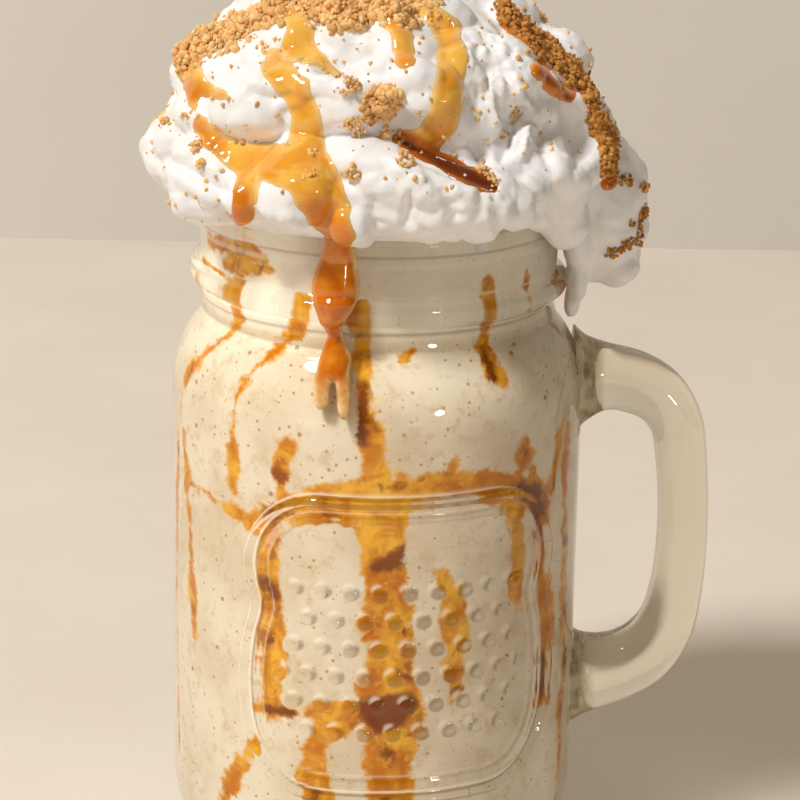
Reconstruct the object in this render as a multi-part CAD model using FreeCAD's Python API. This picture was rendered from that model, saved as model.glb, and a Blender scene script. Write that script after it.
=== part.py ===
import FreeCAD, Part
import math
import os

# A milkshake in a handled drinking jar: pressed glass jar, drink, whipped cream,
# a thick run of caramel down the outside and clusters of biscuit crumb on the cream.
# Millimetres, +Z up. The origin is the centre of the jar's base, on the jar's axis.
# The handle points along +X and the front of the jar faces -Y.

Vector = FreeCAD.Vector

# ---- driving dimensions -------------------------------------------------

# jar
JAR_HEIGHT = 133.0        # base to the top of the lip
BODY_R = 38.5             # outside of the straight body
BODY_WALL = 3.4
BASE_THICK = 6.5
BEARING_R = 25.4          # flat disc that the jar stands on
HEEL_R = 21.8             # big curve between the body and the base
TOE_HEIGHT = 2.6          # where the big curve ends above the table
SHOULDER_R = 20.0         # curve between the body and the neck
SHOULDER_BASE = 98.5      # height at which the body starts to turn in
NECK_R = 33.2
NECK_WALL = 2.8
RECESS_DEPTH = 0.5           # narrowest ring, under the screw thread, inside the neck's side
RECESS_BELOW_LIP = 17.8
LIP_PROUD = 0.7              # out of the neck
LIP_BAND = 2.8            # height of the thickened lip
LIP_ROUND = 1.1

# screw thread, one turn with faded ends at the back
THREAD_BELOW_LIP = 13.0   # its middle at the front
THREAD_PITCH = 3.6
THREAD_PROUD = 1.9        # out of the neck
THREAD_WIDTH = 4.6
THREAD_TURN = 340.0       # degrees
THREAD_FADE = 45.0        # degrees over which each end dies away

# handle
HANDLE_TOP = 99.8         # height of the upper root's middle
HANDLE_SPAN = 59.8        # upper root to lower root
HANDLE_REACH = 20.2       # grip's middle line beyond the body
HANDLE_THICK = 9.8        # grip, seen from the side
HANDLE_DEPTH = 12.4       # grip, seen from the front
ROOT_SINK = 1.6           # how far the roots start inside the wall

# drink
DRINK_BELOW_LIP = 2.4

# cream
CREAM_RISE = 47.0         # top of the cream above the lip
CREAM_R = 39.4            # widest ring of the mound
OVERHANG_DROP = 15.0      # how far the dollop by the handle hangs below the lip
OVERHANG_OUT = 16.0       # how far it stands out from the lip

# caramel run on the outside
RUN_ANGLE = -103.0        # degrees from +X, anticlockwise seen from above
RUN_LENGTH = 31.0         # below the lip
RUN_WIDTH = 10.0
RUN_DEPTH = 4.0
RUN_SINK = 1.0            # how far its flat back starts inside the wall

# crumb clusters: angle, height above the lip, size round the cream, size up the cream
# and thickness of each
CRUMB_CLUSTERS = {
    "crumb_heap_left": (216.0, 31.0, 27.0, 19.0, 5.0),
    "crumb_heap_top": (258.0, 40.6, 27.0, 13.0, 5.0),
    "crumb_ridge_high": (340.0, 33.0, 15.0, 13.0, 4.2),
    "crumb_ridge_low": (350.0, 17.5, 13.0, 12.0, 3.6),
    "crumb_clump_front": (272.0, 25.5, 9.0, 7.0, 4.2),
}

# ---- helpers ------------------------------------------------------------


def polar(radius, degrees, z):
    angle = math.radians(degrees)
    return Vector(radius * math.cos(angle), radius * math.sin(angle), z)


def closed_curve(points):
    curve = Part.BSplineCurve()
    curve.interpolate(Points=points, PeriodicFlag=True)
    return Part.Wire([curve.toShape()])


def oval(centre, side, up, half_side, half_up, half_down=None, count=12):
    """Closed oval ring about centre, in the plane of two unit directions."""
    if half_down is None:
        half_down = half_up
    points = []
    for step in range(count):
        turn = 2.0 * math.pi * step / count
        height = math.sin(turn)
        height *= half_up if height > 0 else half_down
        points.append(centre + side * (half_side * math.cos(turn)) + up * height)
    return closed_curve(points)


def smooth_solid(rings):
    return Part.makeLoft(rings, True, False)


def line(start, end):
    return Part.LineSegment(Vector(start[0], 0, start[1]), Vector(end[0], 0, end[1])).toShape()


def arc(start, middle, end):
    ends = [Vector(x, 0, z) for x, z in (start, middle, end)]
    return Part.Arc(*ends).toShape()


def revolve(edges):
    face = Part.Face(Part.Wire(edges))
    return face.revolve(Vector(0, 0, 0), Vector(0, 0, 1), 360.0)


def on_circle(centre_r, centre_z, radius, z):
    """Point of a circle in the profile plane, on its outer side, at height z."""
    return (centre_r + math.sqrt(radius ** 2 - (z - centre_z) ** 2), z)


# ---- jar profile --------------------------------------------------------

RECESS_R = NECK_R - RECESS_DEPTH
LIP_R = NECK_R + LIP_PROUD
RECESS_Z = JAR_HEIGHT - RECESS_BELOW_LIP
LIP_LOW = JAR_HEIGHT - LIP_BAND
DRINK_Z = JAR_HEIGHT - DRINK_BELOW_LIP
INNER_R = BODY_R - BODY_WALL
MOUTH_R = NECK_R - NECK_WALL


def wall_edges(offset, low_z, top_z, neck_r, recess_r):
    """Outer (offset 0) or inner side of the wall, from the heel up to the neck."""
    heel_r = HEEL_R - offset
    shoulder_r = SHOULDER_R - offset
    body = BODY_R - offset
    heel_centre = body - heel_r
    shoulder_centre = body - shoulder_r
    low = on_circle(heel_centre, HEEL_R, heel_r, low_z)
    low_mid = on_circle(heel_centre, HEEL_R, heel_r, (low_z + HEEL_R) / 2.0)
    turn = RECESS_Z - 0.22 * (RECESS_Z - SHOULDER_BASE)
    turn = min(turn, SHOULDER_BASE + 0.9 * shoulder_r)
    shoulder_end = on_circle(shoulder_centre, SHOULDER_BASE, shoulder_r, turn)
    shoulder_mid = on_circle(shoulder_centre, SHOULDER_BASE, shoulder_r, (turn + SHOULDER_BASE) / 2.0)
    throat = (recess_r, RECESS_Z + 0.5)
    throat_mid = (recess_r + 0.3 * (shoulder_end[0] - recess_r), turn + 0.5 * (throat[1] - turn))
    return [
        arc(low, low_mid, (body, HEEL_R)),
        line((body, HEEL_R), (body, SHOULDER_BASE)),
        arc((body, SHOULDER_BASE), shoulder_mid, shoulder_end),
        arc(shoulder_end, throat_mid, throat),
        line(throat, (neck_r, RECESS_Z + 2.0)),
        line((neck_r, RECESS_Z + 2.0), (neck_r, top_z)),
    ], low


def outer_body():
    wall, toe_top = wall_edges(0.0, TOE_HEIGHT, LIP_LOW, NECK_R, RECESS_R)
    toe_mid = (BEARING_R + 0.55 * (toe_top[0] - BEARING_R), 0.35 * TOE_HEIGHT)
    lip_start = (LIP_R, LIP_LOW + 0.5)
    lip_side = (LIP_R, JAR_HEIGHT - LIP_ROUND)
    lip_mid = (LIP_R - 0.3 * LIP_ROUND, JAR_HEIGHT - 0.3 * LIP_ROUND)
    lip_top = (LIP_R - LIP_ROUND, JAR_HEIGHT)
    edges = [line((0, 0), (BEARING_R, 0)), arc((BEARING_R, 0), toe_mid, toe_top)] + wall
    edges += [line((NECK_R, LIP_LOW), lip_start), line(lip_start, lip_side)]
    edges += [arc(lip_side, lip_mid, lip_top), line(lip_top, (0, JAR_HEIGHT)), line((0, JAR_HEIGHT), (0, 0))]
    return revolve(edges)


def inner_space(top_z):
    """Everything inside the glass, up to a height in the neck."""
    wall, floor_edge = wall_edges(BODY_WALL, BASE_THICK, top_z, MOUTH_R, RECESS_R - NECK_WALL)
    edges = [line((0, BASE_THICK), floor_edge)] + wall
    edges += [line((MOUTH_R, top_z), (0, top_z)), line((0, top_z), (0, BASE_THICK))]
    return revolve(edges)


# ---- jar details --------------------------------------------------------

def thread():
    """Raised screw thread that falls as it goes round to the right, faded at both ends."""
    rings = []
    steps = 34
    front = -90.0
    for step in range(steps + 1):
        along = step / steps - 0.5
        angle = front + along * THREAD_TURN
        edge = min(0.5 - abs(along), THREAD_FADE / THREAD_TURN) * THREAD_TURN / THREAD_FADE
        fade = 0.12 + 0.88 * math.sin(0.5 * math.pi * edge)
        z = JAR_HEIGHT - THREAD_BELOW_LIP - along * THREAD_PITCH * THREAD_TURN / 360.0
        out = polar(1.0, angle, 0)
        centre = polar(NECK_R - 0.6, angle, z)
        rings.append(oval(centre, out, Vector(0, 0, 1), (THREAD_PROUD + 0.6) * fade, 0.5 * THREAD_WIDTH * fade))
    return smooth_solid(rings)


# Stations along the handle from the upper root to the lower one: reach and drop as
# shares of HANDLE_REACH and HANDLE_SPAN, heading in degrees from +X, thickness as a
# share of HANDLE_THICK and depth as a share of HANDLE_DEPTH.
HANDLE_STATIONS = [
    (0.00, 0.014, 0, 1.72, 1.26),
    (0.14, 0.006, 0, 1.46, 1.12),
    (0.32, 0.002, -2, 1.28, 1.02),
    (0.54, 0.020, -16, 1.20, 1.00),
    (0.75, 0.062, -36, 1.12, 1.00),
    (0.90, 0.140, -62, 1.04, 1.00),
    (0.96, 0.245, -80, 1.00, 1.00),
    (1.00, 0.420, -87, 0.97, 1.00),
    (1.00, 0.590, -92, 0.99, 1.00),
    (0.965, 0.725, -99, 1.03, 1.00),
    (0.89, 0.835, -115, 1.12, 1.00),
    (0.72, 0.925, -140, 1.26, 1.00),
    (0.47, 0.978, -160, 1.36, 1.02),
    (0.21, 1.002, -174, 1.50, 1.12),
    (0.00, 1.012, -180, 1.76, 1.26),
]


def handle():
    rings = []
    start = BODY_R - ROOT_SINK
    length = HANDLE_REACH + ROOT_SINK
    for reach, drop, heading, thick, depth in HANDLE_STATIONS:
        centre = Vector(start + reach * length, 0, HANDLE_TOP - drop * HANDLE_SPAN)
        turn = math.radians(heading)
        across = Vector(-math.sin(turn), 0, math.cos(turn))
        half_thick = 0.5 * thick * HANDLE_THICK
        rings.append(oval(centre, across, Vector(0, 1, 0), half_thick, 0.5 * depth * HANDLE_DEPTH))
    return smooth_solid(rings)


def make_jar():
    solid = outer_body().fuse(handle()).fuse(thread())
    return solid.cut(inner_space(JAR_HEIGHT + 1.0))


# ---- cream --------------------------------------------------------------

# Rings of the mound from inside the mouth to the tip: radius as a share of CREAM_R
# and height above the lip as a share of CREAM_RISE.
CREAM_RINGS = [
    (0.45, -0.030), (0.80, 0.004), (0.91, 0.022), (0.985, 0.085), (1.01, 0.170), (0.985, 0.270),
    (0.935, 0.370), (0.915, 0.450), (0.865, 0.560), (0.76, 0.670), (0.62, 0.760), (0.48, 0.840),
    (0.33, 0.915), (0.16, 0.975), (0.03, 1.0),
]

# Soft dollops that swell out of the mound: angle, height above the lip, spread in
# degrees, spread in height, and how far each stands out (negative for a crease).
DOLLOPS = [
    (184, 9, 20, 7, 4.0), (207, 22, 20, 6, 2.8), (228, 7, 16, 6, 3.0), (254, 9, 15, 6, 2.2),
    (276, 6, 14, 5, 2.4), (298, 9, 14, 6, 3.2), (322, 12, 15, 7, 2.6), (345, 19, 18, 8, 3.6),
    (5, 10, 18, 7, 3.4), (34, 8, 18, 7, 3.8), (66, 10, 18, 6, 3.0), (98, 7, 18, 7, 3.8),
    (130, 10, 18, 7, 3.2), (158, 7, 16, 6, 3.4), (52, 25, 20, 6, 3.0), (92, 28, 18, 6, 2.6),
    (132, 25, 20, 6, 3.2), (172, 28, 18, 5, 2.4), (240, 26, 18, 5, 2.2), (284, 28, 20, 5, 2.6),
    (318, 30, 16, 5, 2.4), (20, 30, 18, 5, 2.2), (262, 17, 26, 3.6, -2.6), (306, 20, 16, 3.4, -2.4),
    (14, 21, 16, 3.2, -2.2), (112, 17, 30, 3.2, -2.6), (60, 17, 18, 3.0, -2.0), (166, 18, 18, 3.2, -2.2),
]


def dollop_swell(angle, rise):
    total = 0.0
    for at, height, spread, tall, out in DOLLOPS:
        turn = (angle - at + 180.0) % 360.0 - 180.0
        total += out * math.exp(-(turn / spread) ** 2 - ((rise - height) / tall) ** 2)
    return total


def mound():
    rings = []
    count = 48
    for share, height in CREAM_RINGS:
        points = []
        base_r = share * CREAM_R
        rise = height * CREAM_RISE
        free = min(max((share - 0.02) / 0.8, 0.0), 1.0) if height > 0.01 else 0.0
        for step in range(count):
            angle = 360.0 * step / count
            radius = base_r + free * dollop_swell(angle, rise)
            points.append(polar(radius, angle, JAR_HEIGHT + rise))
        rings.append(closed_curve(points))
    return smooth_solid(rings)


def overhang():
    """Dollop that has slid over the lip above the handle."""
    rings = []
    # share of the way down, share out, half depth along Y and half thickness along X
    for down, out, half_y, half_x in [
        (-0.95, 0.10, 4.0, 3.0), (-0.78, 0.20, 10.0, 6.5), (-0.45, 0.38, 14.0, 8.6),
        (0.0, 0.46, 14.5, 8.4), (0.40, 0.48, 12.5, 7.6), (0.72, 0.44, 9.0, 6.2),
        (0.93, 0.36, 5.0, 4.0), (1.0, 0.34, 1.5, 1.2),
    ]:
        centre = Vector(LIP_R + out * OVERHANG_OUT, 2.0, JAR_HEIGHT - down * OVERHANG_DROP)
        rings.append(oval(centre, Vector(1, 0, 0), Vector(0, 1, 0), half_x, half_y))
    return smooth_solid(rings)


def mouth_plug():
    """Cream between the drink and the top of the lip, inside the glass."""
    return Part.makeCylinder(MOUTH_R, JAR_HEIGHT - DRINK_Z, Vector(0, 0, DRINK_Z))


def make_cream(jar):
    return mound().fuse(overhang()).fuse(mouth_plug()).cut(jar)


# ---- caramel run --------------------------------------------------------

SHOULDER_RISE = BODY_R - RECESS_R
# Stations down the outside of the glass: share of RUN_LENGTH, radius of the glass
# there, width and depth as shares of RUN_WIDTH and RUN_DEPTH, sideways shift in degrees.
RUN_STATIONS = [
    (-0.02, LIP_R, 0.62, 0.55, 0.4),
    (0.08, LIP_R, 0.86, 0.85, 0.3),
    (0.24, NECK_R + 0.4 * THREAD_PROUD, 1.00, 1.05, 0.0),
    (0.36, NECK_R + 0.8 * THREAD_PROUD, 0.95, 1.05, -0.2),
    (0.46, NECK_R + 0.3 * THREAD_PROUD, 0.62, 0.90, -0.6),
    (0.56, RECESS_R + 0.08 * SHOULDER_RISE, 0.48, 0.95, -1.0),
    (0.66, RECESS_R + 0.24 * SHOULDER_RISE, 0.62, 0.95, -0.3),
    (0.76, RECESS_R + 0.55 * SHOULDER_RISE, 0.68, 0.90, 0.6),
    (0.87, RECESS_R + 0.79 * SHOULDER_RISE, 0.66, 0.80, 0.9),
    (0.96, RECESS_R + 0.92 * SHOULDER_RISE, 0.60, 0.70, 1.0),
    (1.0, RECESS_R + 0.93 * SHOULDER_RISE, 0.30, 0.30, 1.0),
]


def make_run(jar, cream):
    rings = []
    for share, glass_r, width, depth, shift in RUN_STATIONS:
        angle = RUN_ANGLE + shift
        out = polar(1.0, angle, 0)
        side = Vector(-out.y, out.x, 0)
        centre = polar(glass_r, angle, JAR_HEIGHT - share * RUN_LENGTH)
        rings.append(oval(centre, side, out, 0.5 * width * RUN_WIDTH, depth * RUN_DEPTH, RUN_SINK))
    return smooth_solid(rings).cut(jar).cut(cream)


# ---- crumb clusters -----------------------------------------------------

# Unevenness of a cluster's outline: lobes, phase in degrees and share of the radius
CLUSTER_WAVES = [(2, 40, 0.07), (3, 110, 0.10), (5, 10, 0.06), (8, 70, 0.03)]
# Rings of a cluster from its buried foot to its top: share of size and of height. The
# first and the last are flat, and those between follow the cream.
CLUSTER_RINGS = [(0.45, -1.3), (0.94, -0.4), (1.0, -0.05), (0.97, 0.30), (0.82, 0.64), (0.52, 0.90), (0.10, 1.0)]


def cream_surface(angle, rise):
    """Point on the mound at an angle and a height above the lip, and its outward direction."""
    rise = min(max(rise, 0.1), 0.99 * CREAM_RISE)
    shares = [(height * CREAM_RISE, share * CREAM_R) for share, height in CREAM_RINGS]
    radius = 0.0
    slope = 0.0
    for (low_z, low_r), (high_z, high_r) in zip(shares, shares[1:]):
        if low_z <= rise <= high_z:
            radius = low_r + (high_r - low_r) * (rise - low_z) / (high_z - low_z)
            slope = math.atan2(low_r - high_r, high_z - low_z)
    out = polar(math.cos(slope), angle, math.sin(slope))
    return polar(radius + dollop_swell(angle, rise), angle, JAR_HEIGHT + rise), out, slope


def crumb_cluster(settings):
    """Uneven heap that follows the cream under it."""
    angle, rise, round_size, up_size, height = settings
    foot, out, slope = cream_surface(angle, rise)
    foot_r = math.hypot(foot.x, foot.y)
    side = Vector(0, 0, 1).cross(out).normalize()
    up = out.cross(side)
    rings = []
    count = 24
    for share, lift in CLUSTER_RINGS:
        flat = lift in (CLUSTER_RINGS[0][1], CLUSTER_RINGS[-1][1])
        points = []
        for step in range(count):
            turn = 2.0 * math.pi * step / count
            uneven = 1.0
            for lobes, phase, size in CLUSTER_WAVES:
                uneven += size * math.cos(lobes * turn + math.radians(phase + angle) + 2.0 * lift)
            along = 0.5 * round_size * share * uneven * math.cos(turn)
            climb = 0.5 * up_size * share * uneven * math.sin(turn)
            if flat:
                points.append(foot + side * along + up * climb + out * (lift * height))
                continue
            turned = angle + math.degrees(along / foot_r)
            point, lean, _ = cream_surface(turned, rise + climb * math.cos(slope))
            points.append(point + lean * (lift * height))
        rings.append(closed_curve(points))
    return smooth_solid(rings)


# ---- build and write ----------------------------------------------------

def main():
    os.makedirs("parts", exist_ok=True)
    nodes = {}
    nodes["glass_jar"] = make_jar()
    nodes["milkshake"] = inner_space(DRINK_Z)
    nodes["whipped_cream"] = make_cream(nodes["glass_jar"])
    nodes["caramel_run"] = make_run(nodes["glass_jar"], nodes["whipped_cream"])
    crumbs = []
    for name, settings in CRUMB_CLUSTERS.items():
        cluster = crumb_cluster(settings).cut(nodes["whipped_cream"])
        for other in crumbs:
            cluster = cluster.cut(other)
        crumbs.append(cluster)
        nodes[name] = cluster
    for name, shape in nodes.items():
        box = shape.BoundBox
        print(name, "solids", len(shape.Solids), "valid", shape.isValid(), "cm3 %.2f" % (shape.Volume / 1000.0),
              "x %.1f %.1f y %.1f %.1f z %.1f %.1f" % (box.XMin, box.XMax, box.YMin, box.YMax, box.ZMin, box.ZMax))
        shape.exportStep("parts/" + name + ".step")


main()
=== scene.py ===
import math

import bmesh
import bpy
import numpy as np
from mathutils import Matrix, Vector, noise
from mathutils.bvhtree import BVHTree


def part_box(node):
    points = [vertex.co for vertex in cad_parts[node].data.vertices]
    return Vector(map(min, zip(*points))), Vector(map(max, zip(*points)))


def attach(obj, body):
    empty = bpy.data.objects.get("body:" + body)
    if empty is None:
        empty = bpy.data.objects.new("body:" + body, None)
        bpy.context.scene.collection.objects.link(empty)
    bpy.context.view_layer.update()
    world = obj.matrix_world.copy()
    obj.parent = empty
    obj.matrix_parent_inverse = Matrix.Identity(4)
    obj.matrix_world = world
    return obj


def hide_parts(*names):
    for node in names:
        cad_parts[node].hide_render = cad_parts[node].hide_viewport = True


# A milkshake in a handled glass jar, with whipped cream, caramel sauce and biscuit crumb.
# Lengths in this script are millimetres until a mesh is made: MM turns them into metres.
# +X is the handle's side, -Y the front and +Z up, with the table at z = 0.
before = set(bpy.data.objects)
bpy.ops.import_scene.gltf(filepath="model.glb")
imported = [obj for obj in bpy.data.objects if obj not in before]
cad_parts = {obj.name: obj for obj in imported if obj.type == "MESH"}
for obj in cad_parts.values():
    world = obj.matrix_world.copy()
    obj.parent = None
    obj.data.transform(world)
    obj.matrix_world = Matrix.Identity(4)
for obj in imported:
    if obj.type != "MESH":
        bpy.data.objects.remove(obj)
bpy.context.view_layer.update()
MM = 0.001
RNG = np.random.default_rng(7)

# ---- sizes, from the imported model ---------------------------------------

JAR_LOW, JAR_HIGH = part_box("glass_jar")
JAR_H = JAR_HIGH.z / MM
BODY_R = -JAR_LOW.x / MM
DRINK_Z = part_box("milkshake")[1].z / MM
INNER_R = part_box("milkshake")[1].x / MM
FLOOR_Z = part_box("milkshake")[0].z / MM

BEARING_R = 25.4
TOE_HEIGHT = 2.6
HEEL_R = 21.8
SHOULDER_R = 20.0
SHOULDER_BASE = 98.5
RECESS_Z = JAR_H - 17.8
RECESS_R = 32.7
NECK_R = 33.2
NECK_WALL = 2.8
LIP_R = 33.9
LIP_BAND = 2.8
LIP_ROUND = 1.1
DRINK_IN_WALL = 0.12      # how far the drink reaches into the glass, so that no gap shows

# The picture's viewpoint. Places on the front are given as (across, up) in the upright
# plane through the jar's axis, as seen from this point.
EYE = Vector((0.0, -507.0, JAR_H + 113.0))
EYE_DOWN = 16.65          # degrees below level
EYE_TURN = 0.49
EYE_ROLL = 0.99
LENS = 126.0

# ---- mesh helpers -------------------------------------------------------


def add_object(name, mesh, material=None):
    piece = bpy.data.objects.new(name, mesh)
    bpy.context.collection.objects.link(piece)
    if material:
        mesh.materials.append(material)
    return piece


def make_piece(name, points, faces, material=None, smooth=True):
    """New mesh object from points in millimetres."""
    mesh = bpy.data.meshes.new(name)
    mesh.from_pydata((np.asarray(points) * MM).tolist(), [], faces)
    mesh.validate()
    if smooth:
        mesh.shade_smooth()
    return add_object(name, mesh, material)


def bake(piece, *modifiers):
    """Puts modifiers on a piece and keeps only the mesh that comes out."""
    for kind, settings in modifiers:
        modifier = piece.modifiers.new(kind.lower(), kind)
        for key, value in settings.items():
            setattr(modifier, key, value)
    graph = bpy.context.evaluated_depsgraph_get()
    mesh = bpy.data.meshes.new_from_object(piece.evaluated_get(graph))
    piece.modifiers.clear()
    old = piece.data
    piece.data = mesh
    bpy.data.meshes.remove(old)
    return piece


def points_of(mesh):
    flat = np.empty(len(mesh.vertices) * 3)
    mesh.vertices.foreach_get("co", flat)
    return flat.reshape(-1, 3) / MM


def normals_of(mesh):
    flat = np.empty(len(mesh.vertices) * 3, dtype=np.float32)
    mesh.vertex_normals.foreach_get("vector", flat)
    return flat.reshape(-1, 3).astype(float)


def set_points(mesh, points):
    mesh.vertices.foreach_set("co", (points * MM).ravel())
    mesh.update()


def triangles_of(mesh):
    mesh.calc_loop_triangles()
    flat = np.empty(len(mesh.loop_triangles) * 3, dtype=np.int32)
    mesh.loop_triangles.foreach_get("vertices", flat)
    return flat.reshape(-1, 3)


def joined(name, pieces):
    """One mesh from several, which are removed."""
    all_points = []
    all_faces = []
    start = 0
    for piece in pieces:
        points = points_of(piece.data)
        all_points.append(points)
        for face in piece.data.polygons:
            all_faces.append([start + i for i in face.vertices])
        start += len(points)
    made = make_piece(name, np.vstack(all_points), all_faces)
    for piece in pieces:
        mesh = piece.data
        bpy.data.objects.remove(piece)
        bpy.data.meshes.remove(mesh)
    return made


def smooth_noise(points, size, seed=0.0, octaves=3):
    """Soft noise from about -1 to 1, with features of a size in millimetres."""
    shift = Vector((seed * 7.31, seed * 3.17, seed * 5.93))
    return np.array([noise.fractal(Vector(p) / size + shift, 1.0, 2.0, octaves) for p in points])


def stroke_depth(across, up, strokes):
    """How far inside a set of strokes points lie. Each stroke is a list of (across, up, radius)."""
    best = np.full(len(across), -1e3)
    for stroke in strokes:
        ends = stroke if len(stroke) > 1 else stroke + stroke
        for (x0, z0, r0), (x1, z1, r1) in zip(ends, ends[1:]):
            dx, dz = x1 - x0, z1 - z0
            length2 = max(dx * dx + dz * dz, 1e-6)
            along = np.clip(((across - x0) * dx + (up - z0) * dz) / length2, 0, 1)
            gap = np.hypot(across - x0 - along * dx, up - z0 - along * dz)
            best = np.maximum(best, r0 + (r1 - r0) * along - gap)
    return best


def elevation(points):
    """Where points are seen in the upright plane through the axis, from the picture's viewpoint."""
    share = -EYE.y / (points[:, 1] - EYE.y)
    return EYE.x + share * (points[:, 0] - EYE.x), EYE.z + share * (points[:, 2] - EYE.z)


def smooth_rows(rows, count):
    """Evenly spaced rows of a smooth curve through every column of a table."""
    table = np.array(rows)
    base = np.arange(len(table))
    at = np.linspace(0, len(table) - 1, count)
    return np.column_stack([catmull(base, table[:, k], at) for k in range(table.shape[1])])


def catmull(xs, ys, at):
    """Smooth curve through evenly spaced values."""
    index = np.clip(np.floor(at).astype(int), 0, len(xs) - 2)
    t = at - index
    padded = np.concatenate([[2 * ys[0] - ys[1]], ys, [2 * ys[-1] - ys[-2]]])
    p0, p1, p2, p3 = (padded[index + k] for k in range(4))
    return 0.5 * (2 * p1 + (p2 - p0) * t + (2 * p0 - 5 * p1 + 4 * p2 - p3) * t ** 2
                  + (3 * p1 - p0 - 3 * p2 + p3) * t ** 3)


def add_values(piece, name, values):
    """One number for each point of a mesh, which a material can read."""
    layer = piece.data.attributes.new(name, "FLOAT", "POINT")
    layer.data.foreach_set("value", values.astype(np.float32))


def dress(piece, *materials):
    """Smooth shading, and these materials in place of any that the mesh has."""
    piece.data.materials.clear()
    for material in materials:
        piece.data.materials.append(material)
    piece.data.shade_smooth()


def tree_of(piece):
    mesh = piece.data
    return BVHTree.FromPolygons([Vector(p) for p in points_of(mesh)], triangles_of(mesh).tolist())


def front_hit(tree, across, up):
    """First point of a surface, and its outward direction, behind a place on the front."""
    ray = (Vector((across, 0.0, up)) - EYE).normalized()
    place, out, _, _ = tree.ray_cast(EYE, ray)
    return place, out


# ---- materials ----------------------------------------------------------


def srgb(red, green, blue):
    """Linear colour from the usual 0 to 255 values."""
    def linear(value):
        value /= 255.0
        return value / 12.92 if value <= 0.04045 else ((value + 0.055) / 1.055) ** 2.4
    return (linear(red), linear(green), linear(blue), 1.0)


class Look:
    """A material and short ways to add nodes to it."""

    def __init__(self, name):
        self.material = bpy.data.materials.new(name)
        self.material.use_nodes = True
        self.nodes = self.material.node_tree.nodes
        self.links = self.material.node_tree.links
        self.shader = self.nodes["Principled BSDF"]
        self.place = self.nodes.new("ShaderNodeTexCoord").outputs["Object"]

    def set(self, **sockets):
        for name, value in sockets.items():
            self.shader.inputs[name.replace("_", " ")].default_value = value

    def node(self, kind, inputs=None, **settings):
        made = self.nodes.new("ShaderNode" + kind)
        for key, value in settings.items():
            setattr(made, key, value)
        for key, value in (inputs or {}).items():
            if isinstance(value, bpy.types.NodeSocket):
                self.links.new(value, made.inputs[key])
            else:
                made.inputs[key].default_value = value
        return made

    def noise(self, size, detail=3.0, rough=0.5, warp=0.0):
        """Noise with features of a size in millimetres, from 0 to 1."""
        made = self.node("TexNoise", {"Vector": self.place, "Scale": 1.0 / (size * MM), "Detail": detail,
                                      "Roughness": rough, "Distortion": warp})
        return made.outputs["Fac"]

    def ramp(self, value, low, high, to_low=0.0, to_high=1.0, kind="SMOOTHSTEP"):
        made = self.node("MapRange", {"Value": value, "From Min": low, "From Max": high,
                                      "To Min": to_low, "To Max": to_high}, interpolation_type=kind)
        return made.outputs["Result"]

    def math(self, operation, first, second=0.0, third=0.0):
        return self.node("Math", {0: first, 1: second, 2: third}, operation=operation).outputs[0]

    def mix(self, share, first, second):
        made = self.node("Mix", data_type="RGBA")
        for key, value in ((0, share), (6, first), (7, second)):
            if isinstance(value, bpy.types.NodeSocket):
                self.links.new(value, made.inputs[key])
            else:
                made.inputs[key].default_value = value
        return made.outputs[2]

    def value(self, attribute):
        return self.node("Attribute", attribute_name=attribute).outputs["Fac"]

    def spots(self, size, share, low=0.12, high=0.2):
        """Round spots: a share of cells of a size in millimetres holds one."""
        cells = self.node("TexVoronoi", {"Vector": self.place, "Scale": 1.0 / (size * MM)})
        near = self.ramp(cells.outputs["Distance"], low, high, 1.0, 0.0)
        pick = self.node("SeparateColor", {"Color": cells.outputs["Color"]}).outputs[0]
        chosen = self.math("LESS_THAN", pick, share)
        return self.math("MULTIPLY", near, chosen)

    def bump(self, height, distance, strength=1.0):
        made = self.node("Bump", {"Height": height, "Distance": distance * MM, "Strength": strength})
        self.links.new(made.outputs["Normal"], self.shader.inputs["Normal"])

    def colour(self, socket):
        self.links.new(socket, self.shader.inputs["Base Color"])

    def blend(self, share, first, second):
        """Two shader nodes, mixed by a share of the second."""
        return self.node("MixShader", {0: share, 1: first.outputs[0], 2: second.outputs[0]})

    def surface(self, shader):
        self.links.new(shader.outputs[0], self.nodes["Material Output"].inputs["Surface"])

    def light_through(self, shader, tint):
        """Light passes to what is inside the glass as it does through a thin pane."""
        clear = self.node("BsdfTransparent", {"Color": tint})
        path = self.node("LightPath")
        self.surface(self.blend(path.outputs["Is Shadow Ray"], shader, clear))


def glass_look():
    look = Look("clear_glass")
    look.set(Base_Color=srgb(250, 251, 246), Roughness=0.015, IOR=1.5, Transmission_Weight=1.0)
    wobble = look.noise(9.0, 2.0)
    look.bump(wobble, 0.25, 0.35)
    look.light_through(look.shader, (0.93, 0.94, 0.92, 1.0))
    return look.material


def handle_look():
    """Glass of the handle: painted shade at its edges, and near its roots a hazy diffuse tint that is a
    painted reflection of the drink and the table.
    """
    look = Look("clear_glass_thick")
    look.set(Roughness=0.02, IOR=1.47, Transmission_Weight=0.985)
    # painted shade: the glass's colour darkens towards its edges, in place of the dark outlines that
    # refraction would show there
    facing = look.node("LayerWeight", {"Blend": 0.5}).outputs["Facing"]
    look.colour(look.mix(look.ramp(facing, 0.55, 0.92, 0.0, 0.9), srgb(238, 232, 218), srgb(128, 112, 84)))
    streak = look.math("ADD", look.noise(14.0, 2.0), look.math("MULTIPLY", look.noise(3.0, 2.0), 0.3))
    look.bump(streak, 0.5, 0.5)
    # painted reflection: near the roots a diffuse tint in the colours of the drink and the table stands in
    # for what the thick glass shows there
    tint = look.mix(look.ramp(look.noise(2.5, 3.0), 0.35, 0.6), srgb(186, 164, 118), srgb(228, 214, 186))
    painted_root_reflection = look.node("BsdfDiffuse", {"Color": tint})
    share = look.ramp(look.noise(4.0, 2.0), 0.2, 0.7, 0.35, 0.75)
    root = look.math("MULTIPLY", look.value("root"), share)
    look.light_through(look.blend(root, look.shader, painted_root_reflection), (0.90, 0.90, 0.87, 1.0))
    return look.material


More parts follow.
